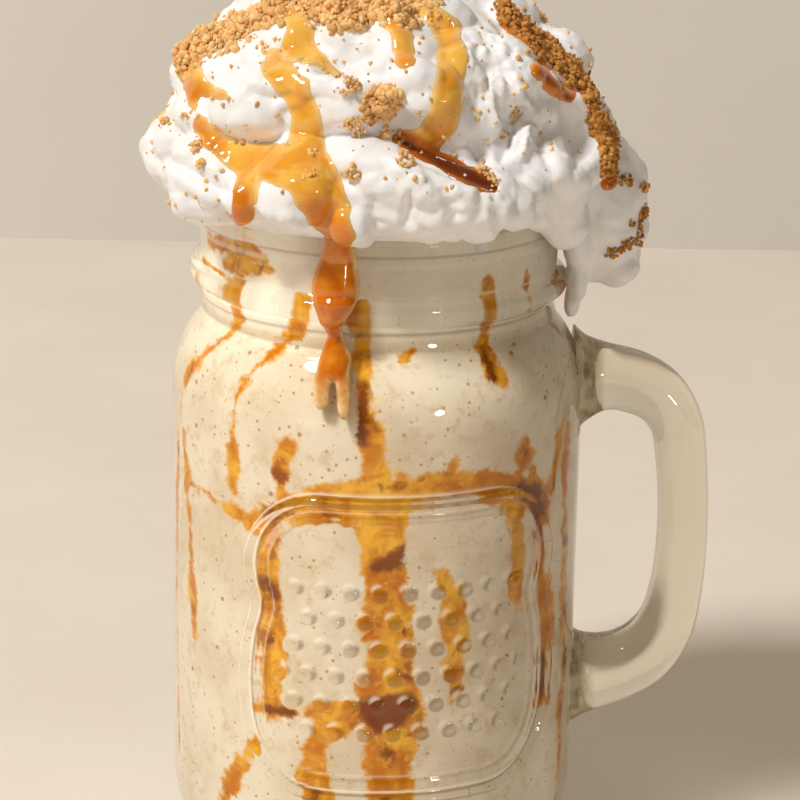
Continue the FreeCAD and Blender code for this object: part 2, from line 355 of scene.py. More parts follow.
def drink_look():
    look = Look("drink")
    look.set(Roughness=0.5, Specular_IOR_Level=0.06)
    pale = look.mix(look.ramp(look.noise(16.0, 3.0), 0.35, 0.65), srgb(219, 202, 175), srgb(233, 220, 198))
    pale = look.mix(look.math("MULTIPLY", look.ramp(look.noise(3.0, 4.0, 0.65), 0.50, 0.68), 0.5),
                    pale, srgb(208, 176, 132))
    specks = look.spots(1.9, 0.5, 0.11, 0.2)
    pale = look.mix(look.math("MULTIPLY", specks, 0.75), pale, srgb(184, 132, 76))
    flecks = look.spots(4.6, 0.34, 0.07, 0.13)
    pale = look.mix(look.math("MULTIPLY", flecks, 0.8), pale, srgb(168, 110, 54))
    bubbles = look.spots(1.1, 0.32, 0.12, 0.22)
    pale = look.mix(look.math("MULTIPLY", bubbles, 0.6), pale, srgb(190, 160, 122))
    # in the neck the drink is paler and glows a little on its lit side, in place of light that
    # comes down through the cream
    axes = look.node("SeparateXYZ", {"Vector": look.place}).outputs
    neck = look.ramp(axes["Z"], (RECESS_Z - 6.0) * MM, (RECESS_Z + 3.0) * MM)
    pale = look.mix(look.math("MULTIPLY", neck, 0.55), pale, srgb(252, 243, 226))
    left = look.ramp(look.math("MULTIPLY", axes["X"], -1.0), 4.0 * MM, 20.0 * MM, 0.02, 0.3)
    depth = look.value("caramel")
    broad = look.math("MULTIPLY", look.math("SUBTRACT", look.noise(7.5, 3.0, 0.55, 0.6), 0.5), 6.4)
    ragged = look.math("MULTIPLY", look.math("SUBTRACT", look.noise(2.4, 4.0, 0.65), 0.5), 3.2)
    depth = look.math("ADD", look.math("ADD", depth, broad), ragged)
    inside = look.ramp(depth, -0.35, 0.75)
    thin = look.ramp(look.noise(5.5, 4.0, 0.62, 0.5), 0.30, 0.62)
    amber = look.mix(thin, srgb(238, 178, 52), srgb(196, 112, 0))
    amber = look.mix(look.ramp(look.noise(6.5, 4.0, 0.6, 0.6), 0.54, 0.68), amber, srgb(146, 70, 2))
    veil = look.ramp(look.noise(2.6, 4.0, 0.7, 0.4), 0.58, 0.74)
    amber = look.mix(look.math("MULTIPLY", veil, 0.55), amber, srgb(236, 192, 116))
    amber = look.mix(look.ramp(depth, -0.2, 1.5, 0.75, 0.0), amber, srgb(232, 172, 72))
    dark = look.math("ADD", look.value("dark"), look.math("MULTIPLY", look.noise(2.6, 3.0, 0.6, 0.5), 3.0))
    amber = look.mix(look.ramp(dark, 0.9, 2.6, 0.0, 0.9), amber, srgb(112, 40, 0))
    shown = look.mix(inside, pale, amber)
    # painted highlight and painted shade: the bright and dark lines that the relief of the glass throws on
    # the drink
    lens = look.value("lens")
    shown = look.mix(look.ramp(lens, 0.05, 0.8, 0.0, 0.55), shown, srgb(255, 246, 228))
    shown = look.mix(look.ramp(lens, -0.8, -0.05, 0.5, 0.0), shown, srgb(120, 82, 44))
    look.colour(shown)
    look.links.new(shown, look.shader.inputs["Emission Color"])
    look.links.new(look.math("MULTIPLY", neck, left), look.shader.inputs["Emission Strength"])
    look.material.cycles.emission_sampling = "NONE"
    grain = look.math("SUBTRACT", look.noise(1.4, 3.0), look.math("ADD", specks, bubbles))
    look.bump(grain, 0.12, 0.5)
    return look.material


def cream_look():
    look = Look("cream")
    look.set(Roughness=0.44, Specular_IOR_Level=0.42)
    hue = look.mix(look.ramp(look.noise(11.0, 3.0), 0.35, 0.7), srgb(248, 248, 248), srgb(243, 242, 240))
    look.colour(hue)
    fine = look.math("ADD", look.noise(0.9, 3.0, 0.6), look.math("MULTIPLY", look.noise(2.6, 3.0), 0.9))
    look.bump(fine, 0.16, 0.45)
    return look.material


def sauce_look():
    look = Look("caramel")
    look.set(Roughness=0.13, Specular_IOR_Level=0.55, Coat_Weight=0.35, Coat_Roughness=0.06,
             Subsurface_Weight=0.25, Subsurface_Scale=0.0018)
    look.shader.inputs["Subsurface Radius"].default_value = (1.0, 0.45, 0.15)
    thick = look.value("thick")
    flow = look.ramp(look.noise(6.0, 3.0, 0.5, 0.5), 0.35, 0.68)
    warm = look.mix(flow, srgb(254, 192, 84), srgb(242, 160, 44))
    edge = look.ramp(thick, 0.0, 1.3, 0.9, 0.0)
    warm = look.mix(edge, warm, srgb(250, 206, 132))
    deep = look.value("deep")
    warm = look.mix(look.ramp(deep, 0.05, 0.55), warm, srgb(222, 124, 14))
    warm = look.mix(look.ramp(deep, 0.55, 1.0), warm, srgb(104, 42, 12))
    grains = look.spots(1.7, 0.10, 0.12, 0.2)
    look.colour(look.mix(look.math("MULTIPLY", grains, 0.45), warm, srgb(176, 108, 52)))
    look.bump(look.noise(2.4, 2.0), 0.10, 0.35)
    return look.material


def crumb_look(name, light, dark):
    look = Look(name)
    look.set(Roughness=0.78, Specular_IOR_Level=0.25)
    hue = look.mix(look.ramp(look.noise(1.1, 4.0, 0.65), 0.35, 0.68), dark, light)
    toast = look.ramp(look.noise(4.5, 3.0), 0.45, 0.72, 0.0, 0.5)
    look.colour(look.mix(toast, hue, srgb(190, 122, 58)))
    look.bump(look.noise(0.28, 4.0, 0.7), 0.12, 0.9)
    return look.material


def run_look():
    """Caramel on the glass: deep amber, with a pale creamy rim."""
    look = Look("caramel_run")
    look.set(Roughness=0.10, Specular_IOR_Level=0.6, Subsurface_Weight=0.2, Subsurface_Scale=0.0012,
             Coat_Weight=0.4, Coat_Roughness=0.05)
    look.shader.inputs["Subsurface Radius"].default_value = (1.0, 0.4, 0.1)
    flow = look.ramp(look.noise(4.5, 2.0, 0.5, 0.4), 0.38, 0.66)
    body = look.mix(flow, srgb(208, 106, 4), srgb(230, 142, 30))
    pale = look.mix(look.ramp(look.noise(2.2, 2.0), 0.4, 0.6), srgb(240, 208, 156), srgb(230, 180, 108))
    look.colour(look.mix(look.ramp(look.value("thick"), 0.55, 1.5), pale, body))
    look.bump(look.noise(2.0, 2.0), 0.15, 0.35)
    return look.material


def plain_look(name, colour, colour_2, size, rough, open_back=False):
    look = Look(name)
    look.set(Roughness=rough, Specular_IOR_Level=0.3)
    look.colour(look.mix(look.ramp(look.noise(size, 4.0), 0.3, 0.7), colour, colour_2))
    look.bump(look.noise(1.2, 3.0), 0.05, 0.2)
    if open_back:
        # the wall's far side is clear, so that it hides nothing from there
        behind = look.node("NewGeometry").outputs["Backfacing"]
        look.surface(look.blend(behind, look.shader, look.node("BsdfTransparent")))
    return look.material


# ---- glass jar ----------------------------------------------------------


def three_point_arc(start, middle, end, step):
    """Points along the circle through three profile points, without the first."""
    (ax, az), (bx, bz), (cx, cz) = start, middle, end
    a2 = ax * ax + az * az
    b2 = bx * bx + bz * bz
    c2 = cx * cx + cz * cz
    d = 2.0 * (ax * (bz - cz) + bx * (cz - az) + cx * (az - bz))
    ux = (a2 * (bz - cz) + b2 * (cz - az) + c2 * (az - bz)) / d
    uz = (a2 * (cx - bx) + b2 * (ax - cx) + c2 * (bx - ax)) / d
    radius = math.hypot(ax - ux, az - uz)
    first = math.atan2(az - uz, ax - ux)
    half = (math.atan2(bz - uz, bx - ux) - first + math.pi) % (2 * math.pi) - math.pi
    rest = math.atan2(cz - uz, cx - ux) - math.atan2(bz - uz, bx - ux)
    sweep = half + (rest + math.pi) % (2 * math.pi) - math.pi
    count = max(2, int(abs(sweep) * radius / step))
    angles = [first + sweep * (i + 1) / count for i in range(count)]
    return [(ux + radius * math.cos(a), uz + radius * math.sin(a)) for a in angles]


def straight(start, end, step):
    count = max(1, int(math.dist(start, end) / step))
    return [(start[0] + (end[0] - start[0]) * (i + 1) / count,
             start[1] + (end[1] - start[1]) * (i + 1) / count) for i in range(count)]


def on_circle(centre_r, centre_z, radius, z):
    return (centre_r + math.sqrt(max(radius ** 2 - (z - centre_z) ** 2, 0.0)), z)


def wall_profile(offset, low_z, top_z, neck_r, recess_r, step):
    """Side of the glass from the heel to the neck: offset 0 is the outside."""
    heel_r = HEEL_R - offset
    shoulder_r = SHOULDER_R - offset
    body = BODY_R - offset
    low = on_circle(body - heel_r, HEEL_R, heel_r, low_z)
    turn = RECESS_Z - 0.22 * (RECESS_Z - SHOULDER_BASE)
    turn = min(turn, SHOULDER_BASE + 0.9 * shoulder_r)
    shoulder_mid = on_circle(body - shoulder_r, SHOULDER_BASE, shoulder_r, (turn + SHOULDER_BASE) / 2)
    shoulder_end = on_circle(body - shoulder_r, SHOULDER_BASE, shoulder_r, turn)
    throat = (recess_r, RECESS_Z + 0.5)
    throat_mid = (recess_r + 0.3 * (shoulder_end[0] - recess_r), turn + 0.5 * (throat[1] - turn))
    points = [low]
    points += three_point_arc(low, on_circle(body - heel_r, HEEL_R, heel_r, (low_z + HEEL_R) / 2),
                              (body, HEEL_R), step)
    points += straight((body, HEEL_R), (body, SHOULDER_BASE), step)
    points += three_point_arc((body, SHOULDER_BASE), shoulder_mid, shoulder_end, step)
    points += three_point_arc(shoulder_end, throat_mid, throat, step)
    points += straight(throat, (neck_r, RECESS_Z + 2.0), step)
    points += straight((neck_r, RECESS_Z + 2.0), (neck_r, top_z), step)
    return points


def lathe(name, profile, segments, relief=None):
    """Turned shape. The profile starts and ends on the axis. relief(angle, z) moves points outward."""
    profile = np.array(profile)
    angles = np.arange(segments) * 2 * math.pi / segments
    rings = profile[1:-1]
    r = np.repeat(rings[:, 0], segments)
    z = np.repeat(rings[:, 1], segments)
    a = np.tile(angles, len(rings))
    if relief:
        r = r + relief(a, z, np.repeat(np.arange(len(rings)), segments))
    points = np.column_stack([r * np.cos(a), r * np.sin(a), z])
    points = np.vstack([points, [0, 0, profile[0, 1]], [0, 0, profile[-1, 1]]])
    low = len(points) - 2
    high = len(points) - 1
    faces = []
    for ring in range(len(rings) - 1):
        base = ring * segments
        for i in range(segments):
            j = (i + 1) % segments
            faces.append((base + i, base + j, base + segments + j, base + segments + i))
    last = (len(rings) - 1) * segments
    for i in range(segments):
        j = (i + 1) % segments
        faces.append((low, j, i))
        faces.append((high, last + i, last + j))
    return make_piece(name, points, faces)


PANEL_ANGLE = -80.5       # degrees: middle of the raised frame on the front
PANEL_Z = 58.0
PANEL_HALF = (31.0, 28.5)
PANEL_CORNER = 15.0
RIDGE = 1.0               # height of the frame's ridge
BEAD = 0.85               # height of the small raised beads inside it
BEAD_STEP = 5.4


def rounded_box(across, up, half, corner):
    """Signed distance to a rounded rectangle."""
    dx = np.abs(across) - half[0] + corner
    dz = np.abs(up) - half[1] + corner
    return np.hypot(np.maximum(dx, 0), np.maximum(dz, 0)) + np.minimum(np.maximum(dx, dz), 0) - corner


def jar_relief(outer_rings):
    """Raised frame with waisted sides and rows of small beads, pressed into the outside."""
    def relief(angle, z, ring):
        turn = (np.degrees(angle) - PANEL_ANGLE + 180.0) % 360.0 - 180.0
        across = np.radians(turn) * BODY_R
        up = z - PANEL_Z
        waist = 1.7 * np.exp(-((up - 7.0) / 4.5) ** 2) - 0.9 * np.exp(-((up + 8.0) / 7.0) ** 2)
        edge = rounded_box(across, up, PANEL_HALF, PANEL_CORNER)
        edge = edge + waist * np.minimum(np.abs(across) / 20.0, 1.0)
        lift = RIDGE * np.exp(-(edge / 0.7) ** 4) + 0.45 * RIDGE * np.exp(-((edge + 3.2) / 0.6) ** 4)
        lift += 0.12 * np.exp(-((edge - 2.2) / 1.1) ** 2)
        # staggered rows of beads, kept clear of the frame
        row = np.floor((up + 40.0) / BEAD_STEP)
        half = BEAD_STEP / 2
        cell_x = (across + half * (row % 2)) % BEAD_STEP - half
        cell_z = (up + 40.0) % BEAD_STEP - half
        bead = BEAD * np.exp(-((np.hypot(cell_x, cell_z * 1.15) / 1.25) ** 4))
        rows = (np.abs(up + 1.0) < 16.3) & (edge < -7.5)
        lift += np.where(rows, bead, 0.0)
        return np.where((ring < outer_rings) & (z > HEEL_R) & (z < SHOULDER_BASE), lift, 0.0)
    return relief


def thread_relief(angle, z):
    """Screw thread that falls one pitch to the right in each turn and fades at the back."""
    turn = (np.degrees(angle) + 90.0 + 180.0) % 360.0 - 180.0
    middle = JAR_H - 13.0 - turn / 360.0 * 3.6
    fade = np.clip((170.0 - np.abs(turn)) / 45.0, 0.0, 1.0)
    fade = np.sin(0.5 * math.pi * fade)
    t = np.clip(np.abs(z - middle) / 2.3, 0, 1)
    return 1.95 * fade * np.sqrt(1.0 - t ** 2.4)


# Along the handle: share of its reach, share of its span, heading in degrees, and its thickness
# and depth as shares of the grip's
HANDLE_STATIONS = [
    (0.00, 0.014, 0, 2.10, 1.60), (0.12, 0.008, 0, 1.62, 1.22), (0.30, 0.002, -2, 1.28, 1.02),
    (0.54, 0.020, -16, 1.20, 1.00), (0.75, 0.062, -36, 1.12, 1.00), (0.90, 0.140, -62, 1.04, 1.00),
    (0.96, 0.245, -80, 1.00, 1.00), (1.00, 0.420, -87, 0.97, 1.00), (1.00, 0.590, -92, 0.99, 1.00),
    (0.965, 0.725, -99, 1.03, 1.00), (0.89, 0.835, -115, 1.12, 1.00), (0.72, 0.925, -140, 1.26, 1.00),
    (0.47, 0.978, -160, 1.36, 1.02), (0.19, 1.002, -174, 1.58, 1.18), (0.00, 1.008, -180, 2.05, 1.50),
]
HANDLE_TOP = 99.8
HANDLE_SPAN = 59.8
HANDLE_REACH = 20.2
HANDLE_THICK = 9.8
HANDLE_DEPTH = 12.4
HANDLE_SINK = 1.6         # how far the roots start inside the wall
HANDLE_SQUARE = 0.86      # below 1 the section is a squarish oval
ROOT_BANDS = ((32.0, 48.0), (90.0, 110.0))  # heights between which the roots meet the wall


def handle_mesh():
    """Solid glass handle with flared roots that start inside the wall."""
    steps = 120
    around = 48
    points = []
    for share, drop, heading, wide, deep in smooth_rows(HANDLE_STATIONS, steps):
        x = BODY_R - HANDLE_SINK + share * (HANDLE_REACH + HANDLE_SINK)
        centre = Vector((x, 0.0, HANDLE_TOP - drop * HANDLE_SPAN))
        turn = math.radians(heading)
        across = Vector((-math.sin(turn), 0.0, math.cos(turn)))
        for k in range(around):
            a = 2 * math.pi * k / around
            side = math.copysign(abs(math.sin(a)) ** HANDLE_SQUARE, math.sin(a))
            flat = math.copysign(abs(math.cos(a)) ** HANDLE_SQUARE, math.cos(a))
            offset = Vector((0, 0.5 * deep * HANDLE_DEPTH * side, 0))
            point = centre + across * (0.5 * wide * HANDLE_THICK * flat) + offset
            points.append(point[:])
    faces = []
    for i in range(steps - 1):
        for k in range(around):
            j = (k + 1) % around
            low = i * around
            high = low + around
            faces.append((low + k, low + j, high + j, high + k))
    faces.append(tuple(range(around - 1, -1, -1)))
    faces.append(tuple((steps - 1) * around + k for k in range(around)))
    return make_piece("handle", points, faces)


def make_jar(material, thick_material):
    step = 0.55
    toe_top = on_circle(BODY_R - HEEL_R, HEEL_R, HEEL_R, TOE_HEIGHT)
    toe_mid = (BEARING_R + 0.55 * (toe_top[0] - BEARING_R), 0.35 * TOE_HEIGHT)
    lip_low = JAR_H - LIP_BAND
    lip_side = (LIP_R, JAR_H - LIP_ROUND)
    lip_top = (LIP_R - LIP_ROUND, JAR_H)
    outer = [(0.0, 0.0)] + straight((0.0, 0.0), (BEARING_R, 0.0), 4.0)
    outer += three_point_arc((BEARING_R, 0.0), toe_mid, toe_top, 0.8)
    outer += wall_profile(0.0, TOE_HEIGHT, lip_low, NECK_R, RECESS_R, step)[1:]
    outer += straight((NECK_R, lip_low), (LIP_R, lip_low + 0.5), 0.5)
    outer += straight((LIP_R, lip_low + 0.5), lip_side, 0.5)
    outer += three_point_arc(lip_side, (LIP_R - 0.3 * LIP_ROUND, JAR_H - 0.3 * LIP_ROUND), lip_top, 0.3)
    mouth_r = NECK_R - NECK_WALL
    inner = straight(lip_top, (mouth_r + 0.7, JAR_H), 0.6)
    inner += three_point_arc((mouth_r + 0.7, JAR_H), (mouth_r + 0.2, JAR_H - 0.2),
                             (mouth_r, JAR_H - 0.7), 0.3)
    wall = BODY_R - INNER_R
    side = wall_profile(wall, FLOOR_Z, JAR_H - 0.7, mouth_r, RECESS_R - NECK_WALL, 1.6)
    inner += side[::-1][1:]
    inner += straight(side[0], (0.0, FLOOR_Z), 4.0)
    emboss = jar_relief(len(outer) - 1)

    def relief(angle, z, ring):
        lift = emboss(angle, z, ring)
        neck = (ring < len(outer) - 1) & (z > RECESS_Z + 2.0) & (z < lip_low - 0.1)
        return lift + np.where(neck, thread_relief(angle, z), 0.0)

    body = lathe("glass_jar_visual", outer + inner, 420, relief)
    handle = handle_mesh()
    bake(body, ("BOOLEAN", {"operation": "UNION", "object": handle, "solver": "EXACT"}))
    bpy.data.objects.remove(handle)
    dress(body, material, thick_material)
    for face in body.data.polygons:
        x, y, z = face.center / MM
        at_root = x > BODY_R - 4.5 and abs(y) < 9.0 and any(low < z < high for low, high in ROOT_BANDS)
        face.material_index = 1 if x > BODY_R + 0.25 or at_root else 0
    beyond = points_of(body.data)[:, 0] - BODY_R
    add_values(body, "root", np.clip(1.0 - (beyond - 0.8) / 3.2, 0.0, 1.0))
    return body


# ---- drink --------------------------------------------------------------

# Caramel against the inside of the glass: (degrees from the front towards the handle,
# height, half width) along each run
CARAMEL_RUNS = [
    [(-6, 118.5, 2.4), (-5, 112, 2.4), (-4, 106, 1.6), (-3, 101, 2.0), (-1, 95, 2.6), (1, 89, 3.4)],
    [(-38, 79.5, 1.2), (-33, 81.5, 2.2), (-25, 83.5, 3.4), (-13, 85.5, 4.2), (0, 86.5, 5.0),
     (12, 88.0, 3.0), (21, 89.5, 2.4), (31, 88.5, 2.8), (42, 86.0, 3.4), (52, 84.0, 2.8)],
    [(-27, 85, 2.2), (-28, 91, 2.5), (-26, 96.5, 1.6)], [(21, 90, 1.6), (23, 93.5, 1.2)],
    [(44, 86, 2.0), (47, 92.5, 1.6), (48, 95, 0.9)], [(60, 84, 1.8), (64, 92, 1.4), (66, 95, 0.8)],
    [(-32, 81, 2.6), (-31.5, 73, 2.6), (-31, 65.5, 2.9), (-30.5, 56, 3.0), (-30, 47, 3.0),
     (-30, 43, 2.2)],
    [(-36, 43.8, 1.4), (-28, 44.5, 2.2), (-20, 45, 1.8), (-12, 45.5, 2.2), (-2, 46, 3.0)],
    [(0, 86, 5.2), (2.5, 77, 4.4), (3.5, 68, 4.2), (4.5, 58, 4.4), (5, 50, 5.8), (6, 45, 5.8),
     (5, 38, 4.8), (5, 28, 4.2), (5, 20, 3.0), (5, 12, 1.5)],
    [(-8, 45, 3.2), (-15, 42, 3.0), (-16.5, 35, 2.7), (-16, 28, 2.7), (-15, 20, 2.0), (-15, 12, 1.2)],
    [(50, 86.5, 2.4), (54, 80, 2.8), (57, 70, 2.6), (60, 58, 2.8), (60, 49.5, 3.0), (60, 42, 2.0)],
    [(44, 82, 1.8), (46, 72, 2.0), (46, 64, 1.4)], [(45, 62, 1.0), (56, 62, 1.0)],
    [(19.5, 72, 1.6), (22.5, 68, 2.4), (23.5, 62, 2.6), (24, 55, 2.4), (24.5, 48, 2.0)],
    [(-36, 37, 1.0), (-40, 33, 1.8), (-45, 27, 2.2), (-49, 22, 1.8), (-52, 16, 1.2)],
    [(-72, 92, 1.2), (-70, 84, 1.6), (-68, 78, 1.8), (-66, 67, 1.7), (-64.5, 60, 1.9),
     (-64, 53.5, 1.2)],
    [(-68, 82.5, 1.2), (-55, 82, 0.9), (-44, 80.5, 1.1), (-38, 80, 1.3)],
    [(-51, 122, 1.7), (-53, 115.5, 1.5), (-60, 109, 1.2), (-70, 102, 1.0), (-76, 92, 0.9),
     (-79, 78, 0.8), (-80, 62, 0.9), (-80, 45, 0.8), (-78, 26, 0.6)],
    [(-25, 119.5, 2.5), (-28, 115.5, 2.4), (-33, 111.5, 1.9), (-40, 107, 1.2), (-44, 102, 1.3),
     (-44.5, 94.5, 1.2), (-45, 85.5, 0.9)],
    [(38, 124, 1.2), (38, 118, 1.7), (37.5, 112.5, 2.1), (37, 108, 2.3), (40, 105.5, 1.3)],
    [(70, 93, 1.6), (69, 84, 1.8), (71, 71, 2.0), (71, 59, 1.8), (74, 48, 1.6), (72, 38, 1.8),
     (72, 26, 1.6), (70, 18, 1.2)],
    [(-72, 127.5, 1.8), (-51, 128, 2.4), (-40, 127.5, 1.8)],
    [(-60, 124.8, 1.4), (-48, 125.5, 1.5), (-35, 125.5, 0.9)],
    [(-80, 121.5, 1.6), (-62, 121, 1.2), (-57, 119.8, 0.8)], [(56, 124, 1.1), (57, 119, 1.3)],
    [(84, 119, 1.8), (76, 117, 1.5)], [(74, 115, 1.1), (80, 109, 1.3), (84, 103, 0.9)],
    [(12, 112, 0.8), (9, 110.5, 0.7)],
    [(104, 118, 1.6), (108, 104, 1.4), (112, 88, 2.2), (110, 66, 1.8), (113, 48, 1.2)],
    [(140, 96, 1.4), (143, 84, 2.8), (158, 80, 3.2), (176, 84, 2.6), (190, 80, 3.0), (206, 86, 1.6)],
    [(150, 82, 2.8), (152, 64, 3.0), (150, 46, 2.4), (152, 30, 1.6)],
    [(180, 118, 2.0), (178, 100, 1.6), (181, 86, 2.6), (184, 70, 2.2), (183, 56, 1.4)],
    [(206, 84, 2.2), (210, 66, 2.4), (214, 44, 2.0), (213, 24, 1.4)],
    [(238, 112, 1.4), (242, 96, 1.2), (250, 76, 1.8), (248, 58, 1.2)],
]
# Where the caramel lies thickest and nearly black-red
DARK_SPOTS = [
    [(-33, 69, 1.8), (-30, 67, 1.6)], [(1, 74, 1.8), (8, 76, 2.2)],
    [(-2, 47, 2.0), (4, 46, 4.2), (10, 48, 2.2)], [(46, 86, 1.6), (52, 84, 1.8), (55, 76, 1.4)],
    [(59, 50, 2.4), (60, 43, 2.0)], [(-32, 44, 1.2), (-24, 44.5, 1.4)], [(-4, 106, 1.4), (-4, 98, 1.6)],
    [(37, 110, 1.2), (36.5, 106, 1.2)], [(-16, 29, 1.6)], [(-65, 58, 1.0)], [(-67, 72, 0.9)],
    [(4, 38, 1.2)], [(71, 71, 1.6)], [(84, 119, 1.4)], [(24, 49, 1.2)],
]


def make_drink(material):
    wall = BODY_R - INNER_R
    side = wall_profile(wall, FLOOR_Z, DRINK_Z, NECK_R - NECK_WALL, RECESS_R - NECK_WALL, 0.6)
    top = JAR_H - 0.35
    profile = [(0.0, FLOOR_Z)] + straight((0.0, FLOOR_Z), side[0], 3.0) + side[1:]
    profile += straight(side[-1], (side[-1][0], top), 0.6) + straight((side[-1][0], top), (0.0, top), 3.0)
    drink = lathe("milkshake_visual", profile, 400)
    points = points_of(drink.data)
    out = normals_of(drink.data)
    points = points + out * DRINK_IN_WALL
    set_points(drink.data, points)
    turn = np.degrees(np.arctan2(points[:, 0], -points[:, 1]))
    depth = np.full(len(points), -9.0)
    dark = np.full(len(points), -9.0)
    arc = math.radians(1.0) * INNER_R
    for lap in (0.0, 360.0):
        runs = [[(a * arc, z, r) for a, z, r in run] for run in CARAMEL_RUNS]
        spots = [[(a * arc, z, r) for a, z, r in run] for run in DARK_SPOTS]
        depth = np.maximum(depth, stroke_depth((turn + lap) * arc, points[:, 2], runs))
        dark = np.maximum(dark, stroke_depth((turn + lap) * arc, points[:, 2], spots))
    # painted light and shade: bright and dark lines on the drink, standing in for those that the relief of
    # the glass throws on it
    around = np.arctan2(points[:, 1], points[:, 0])
    relief = jar_relief(1)
    flat = np.zeros(len(points))

    def height(angle, z):
        return relief(angle, z, flat) + 0.5 * thread_relief(angle, z)

    step_z = 0.45
    step_angle = 0.45 / BODY_R
    up_left = height(around - step_angle, points[:, 2] + step_z)
    low_right = height(around + step_angle, points[:, 2] - step_z)
    lens = np.where(points[:, 2] > HEEL_R, low_right - up_left, 0.0)
    # the lip and the groove under the thread each add a painted bright ring and a painted dark ring
    rings = ((0.9, JAR_H - 1.3, 0.45), (-0.8, JAR_H - 3.3, 0.45), (0.7, JAR_H - 5.2, 0.5),
             (0.6, RECESS_Z + 2.8, 0.5), (-0.7, RECESS_Z + 0.4, 0.6))
    for strength, z, half in rings:
        lens += strength * np.exp(-((points[:, 2] - z) / half) ** 2)
    for name, values in (("caramel", depth), ("dark", dark), ("lens", lens)):
        add_values(drink, name, values)
    dress(drink, material)
    return drink


# ---- whipped cream ------------------------------------------------------

# Dollops seen from the front: (across, up, sink under the surface, half sizes across,
# outward and up, tilt in degrees)
FRONT_DOLLOPS = [
    (-34.0, 139.5, 3.5, (8.5, 7.0, 9.0), 15), (-32.5, 132.5, 2.5, (5.0, 4.6, 5.6), 0),
    (-39.0, 144.5, 2.0, (4.5, 4.5, 5.0), 20), (-25.0, 150.5, 3.5, (10.0, 7.0, 7.0), 25),
    (-15.5, 138.5, 3.0, (8.5, 6.0, 10.0), -10), (-26.0, 132.0, 1.6, (3.6, 3.6, 4.2), 0),
    (-5.0, 127.6, 1.0, (3.6, 3.4, 4.4), -8), (19.5, 129.0, 0.6, (5.0, 4.2, 5.4), 12),
    (18.2, 125.8, 0.4, (2.4, 2.2, 2.8), 8), (-3.2, 125.8, 0.4, (2.4, 2.2, 2.8), -6),
    (27.0, 132.6, 0.6, (3.6, 3.2, 3.0), 30), (-30.5, 157.5, 3.0, (6.0, 5.0, 5.0), 35),
    (-17.0, 163.5, 2.2, (6.5, 5.0, 5.0), 15), (4.0, 161.0, 3.0, (9.0, 6.0, 6.5), -10),
    (15.5, 160.5, 2.6, (6.5, 5.0, 7.0), -35), (23.5, 158.5, 2.2, (6.5, 5.0, 7.0), -30),
    (29.0, 151.5, 2.4, (6.0, 5.0, 6.0), -20), (20.0, 149.0, 2.4, (5.6, 5.0, 7.0), -15),
    (25.5, 144.0, 2.2, (5.0, 4.5, 5.0), 0), (34.0, 131.5, 3.0, (6.5, 6.0, 7.5), 0),
    (28.5, 134.5, 2.4, (4.5, 4.5, 4.5), 20), (11.0, 167.5, 2.0, (6.0, 4.5, 4.0), -10),
    (-3.0, 168.0, 2.0, (8.0, 5.0, 4.0), 0),
]
# Folded rolls: (across, up, half thickness, sink) along each
FRONT_ROLLS = [
    [(-10, 142.0, 3.6, 2.4), (-6, 140.6, 5.2, 2.0), (1, 138.4, 6.0, 1.8), (10, 135.6, 6.0, 1.8),
     (18, 133.2, 5.6, 1.8), (24.5, 131.4, 4.8, 1.6), (28.5, 131.0, 3.2, 1.4)],
    [(-17, 156.5, 3.0, 1.6), (-12, 155.2, 4.0, 1.8), (-7, 152.6, 4.2, 1.8), (-4, 148.6, 3.6, 1.6)],
    [(-2, 156.6, 4.2, 1.8), (4, 156.2, 5.4, 2.2), (9, 153.4, 5.2, 2.2), (12, 149.6, 4.4, 2.0),
     (13.5, 146.0, 3.4, 1.8)],
    [(-8, 163.4, 3.4, 1.6), (-3, 164.4, 4.2, 1.8), (3, 164.4, 4.2, 1.8), (8, 163.2, 3.4, 1.6)],
    [(32.5, 152.0, 2.2, 0.8), (36.0, 151.3, 2.6, 0.6), (38.6, 148.2, 2.9, 0.6),
     (39.3, 143.8, 3.2, 0.8), (38.2, 139.6, 3.8, 1.0), (35.4, 137.8, 3.6, 1.0),
     (31.6, 139.6, 2.5, 0.8), (28.6, 141.3, 1.8, 0.8)],
    [(-38, 148.5, 2.6, 1.0), (-33.5, 147.3, 3.4, 1.4), (-28, 146.0, 3.2, 1.4), (-22, 146.6, 2.4, 1.2)],
]
# Free lumps: centre and half sizes
FREE_LUMPS = [
    ((43.0, 1.0, 137.0), (6.5, 10.0, 7.0)), ((45.5, 0.0, 129.5), (4.4, 8.0, 7.5)),
    ((43.5, -2.0, 122.8), (3.6, 4.6, 4.6)), ((40.5, 3.0, 124.5), (5.0, 7.0, 5.0)),
    ((37.0, -5.0, 127.5), (3.4, 6.0, 7.0)), ((36.6, -5.0, 120.5), (2.2, 3.8, 5.5)),
    ((35.9, -4.2, 115.8), (1.4, 2.4, 3.6)), ((33.0, -16.0, 133.5), (5.0, 6.0, 4.5)),
]
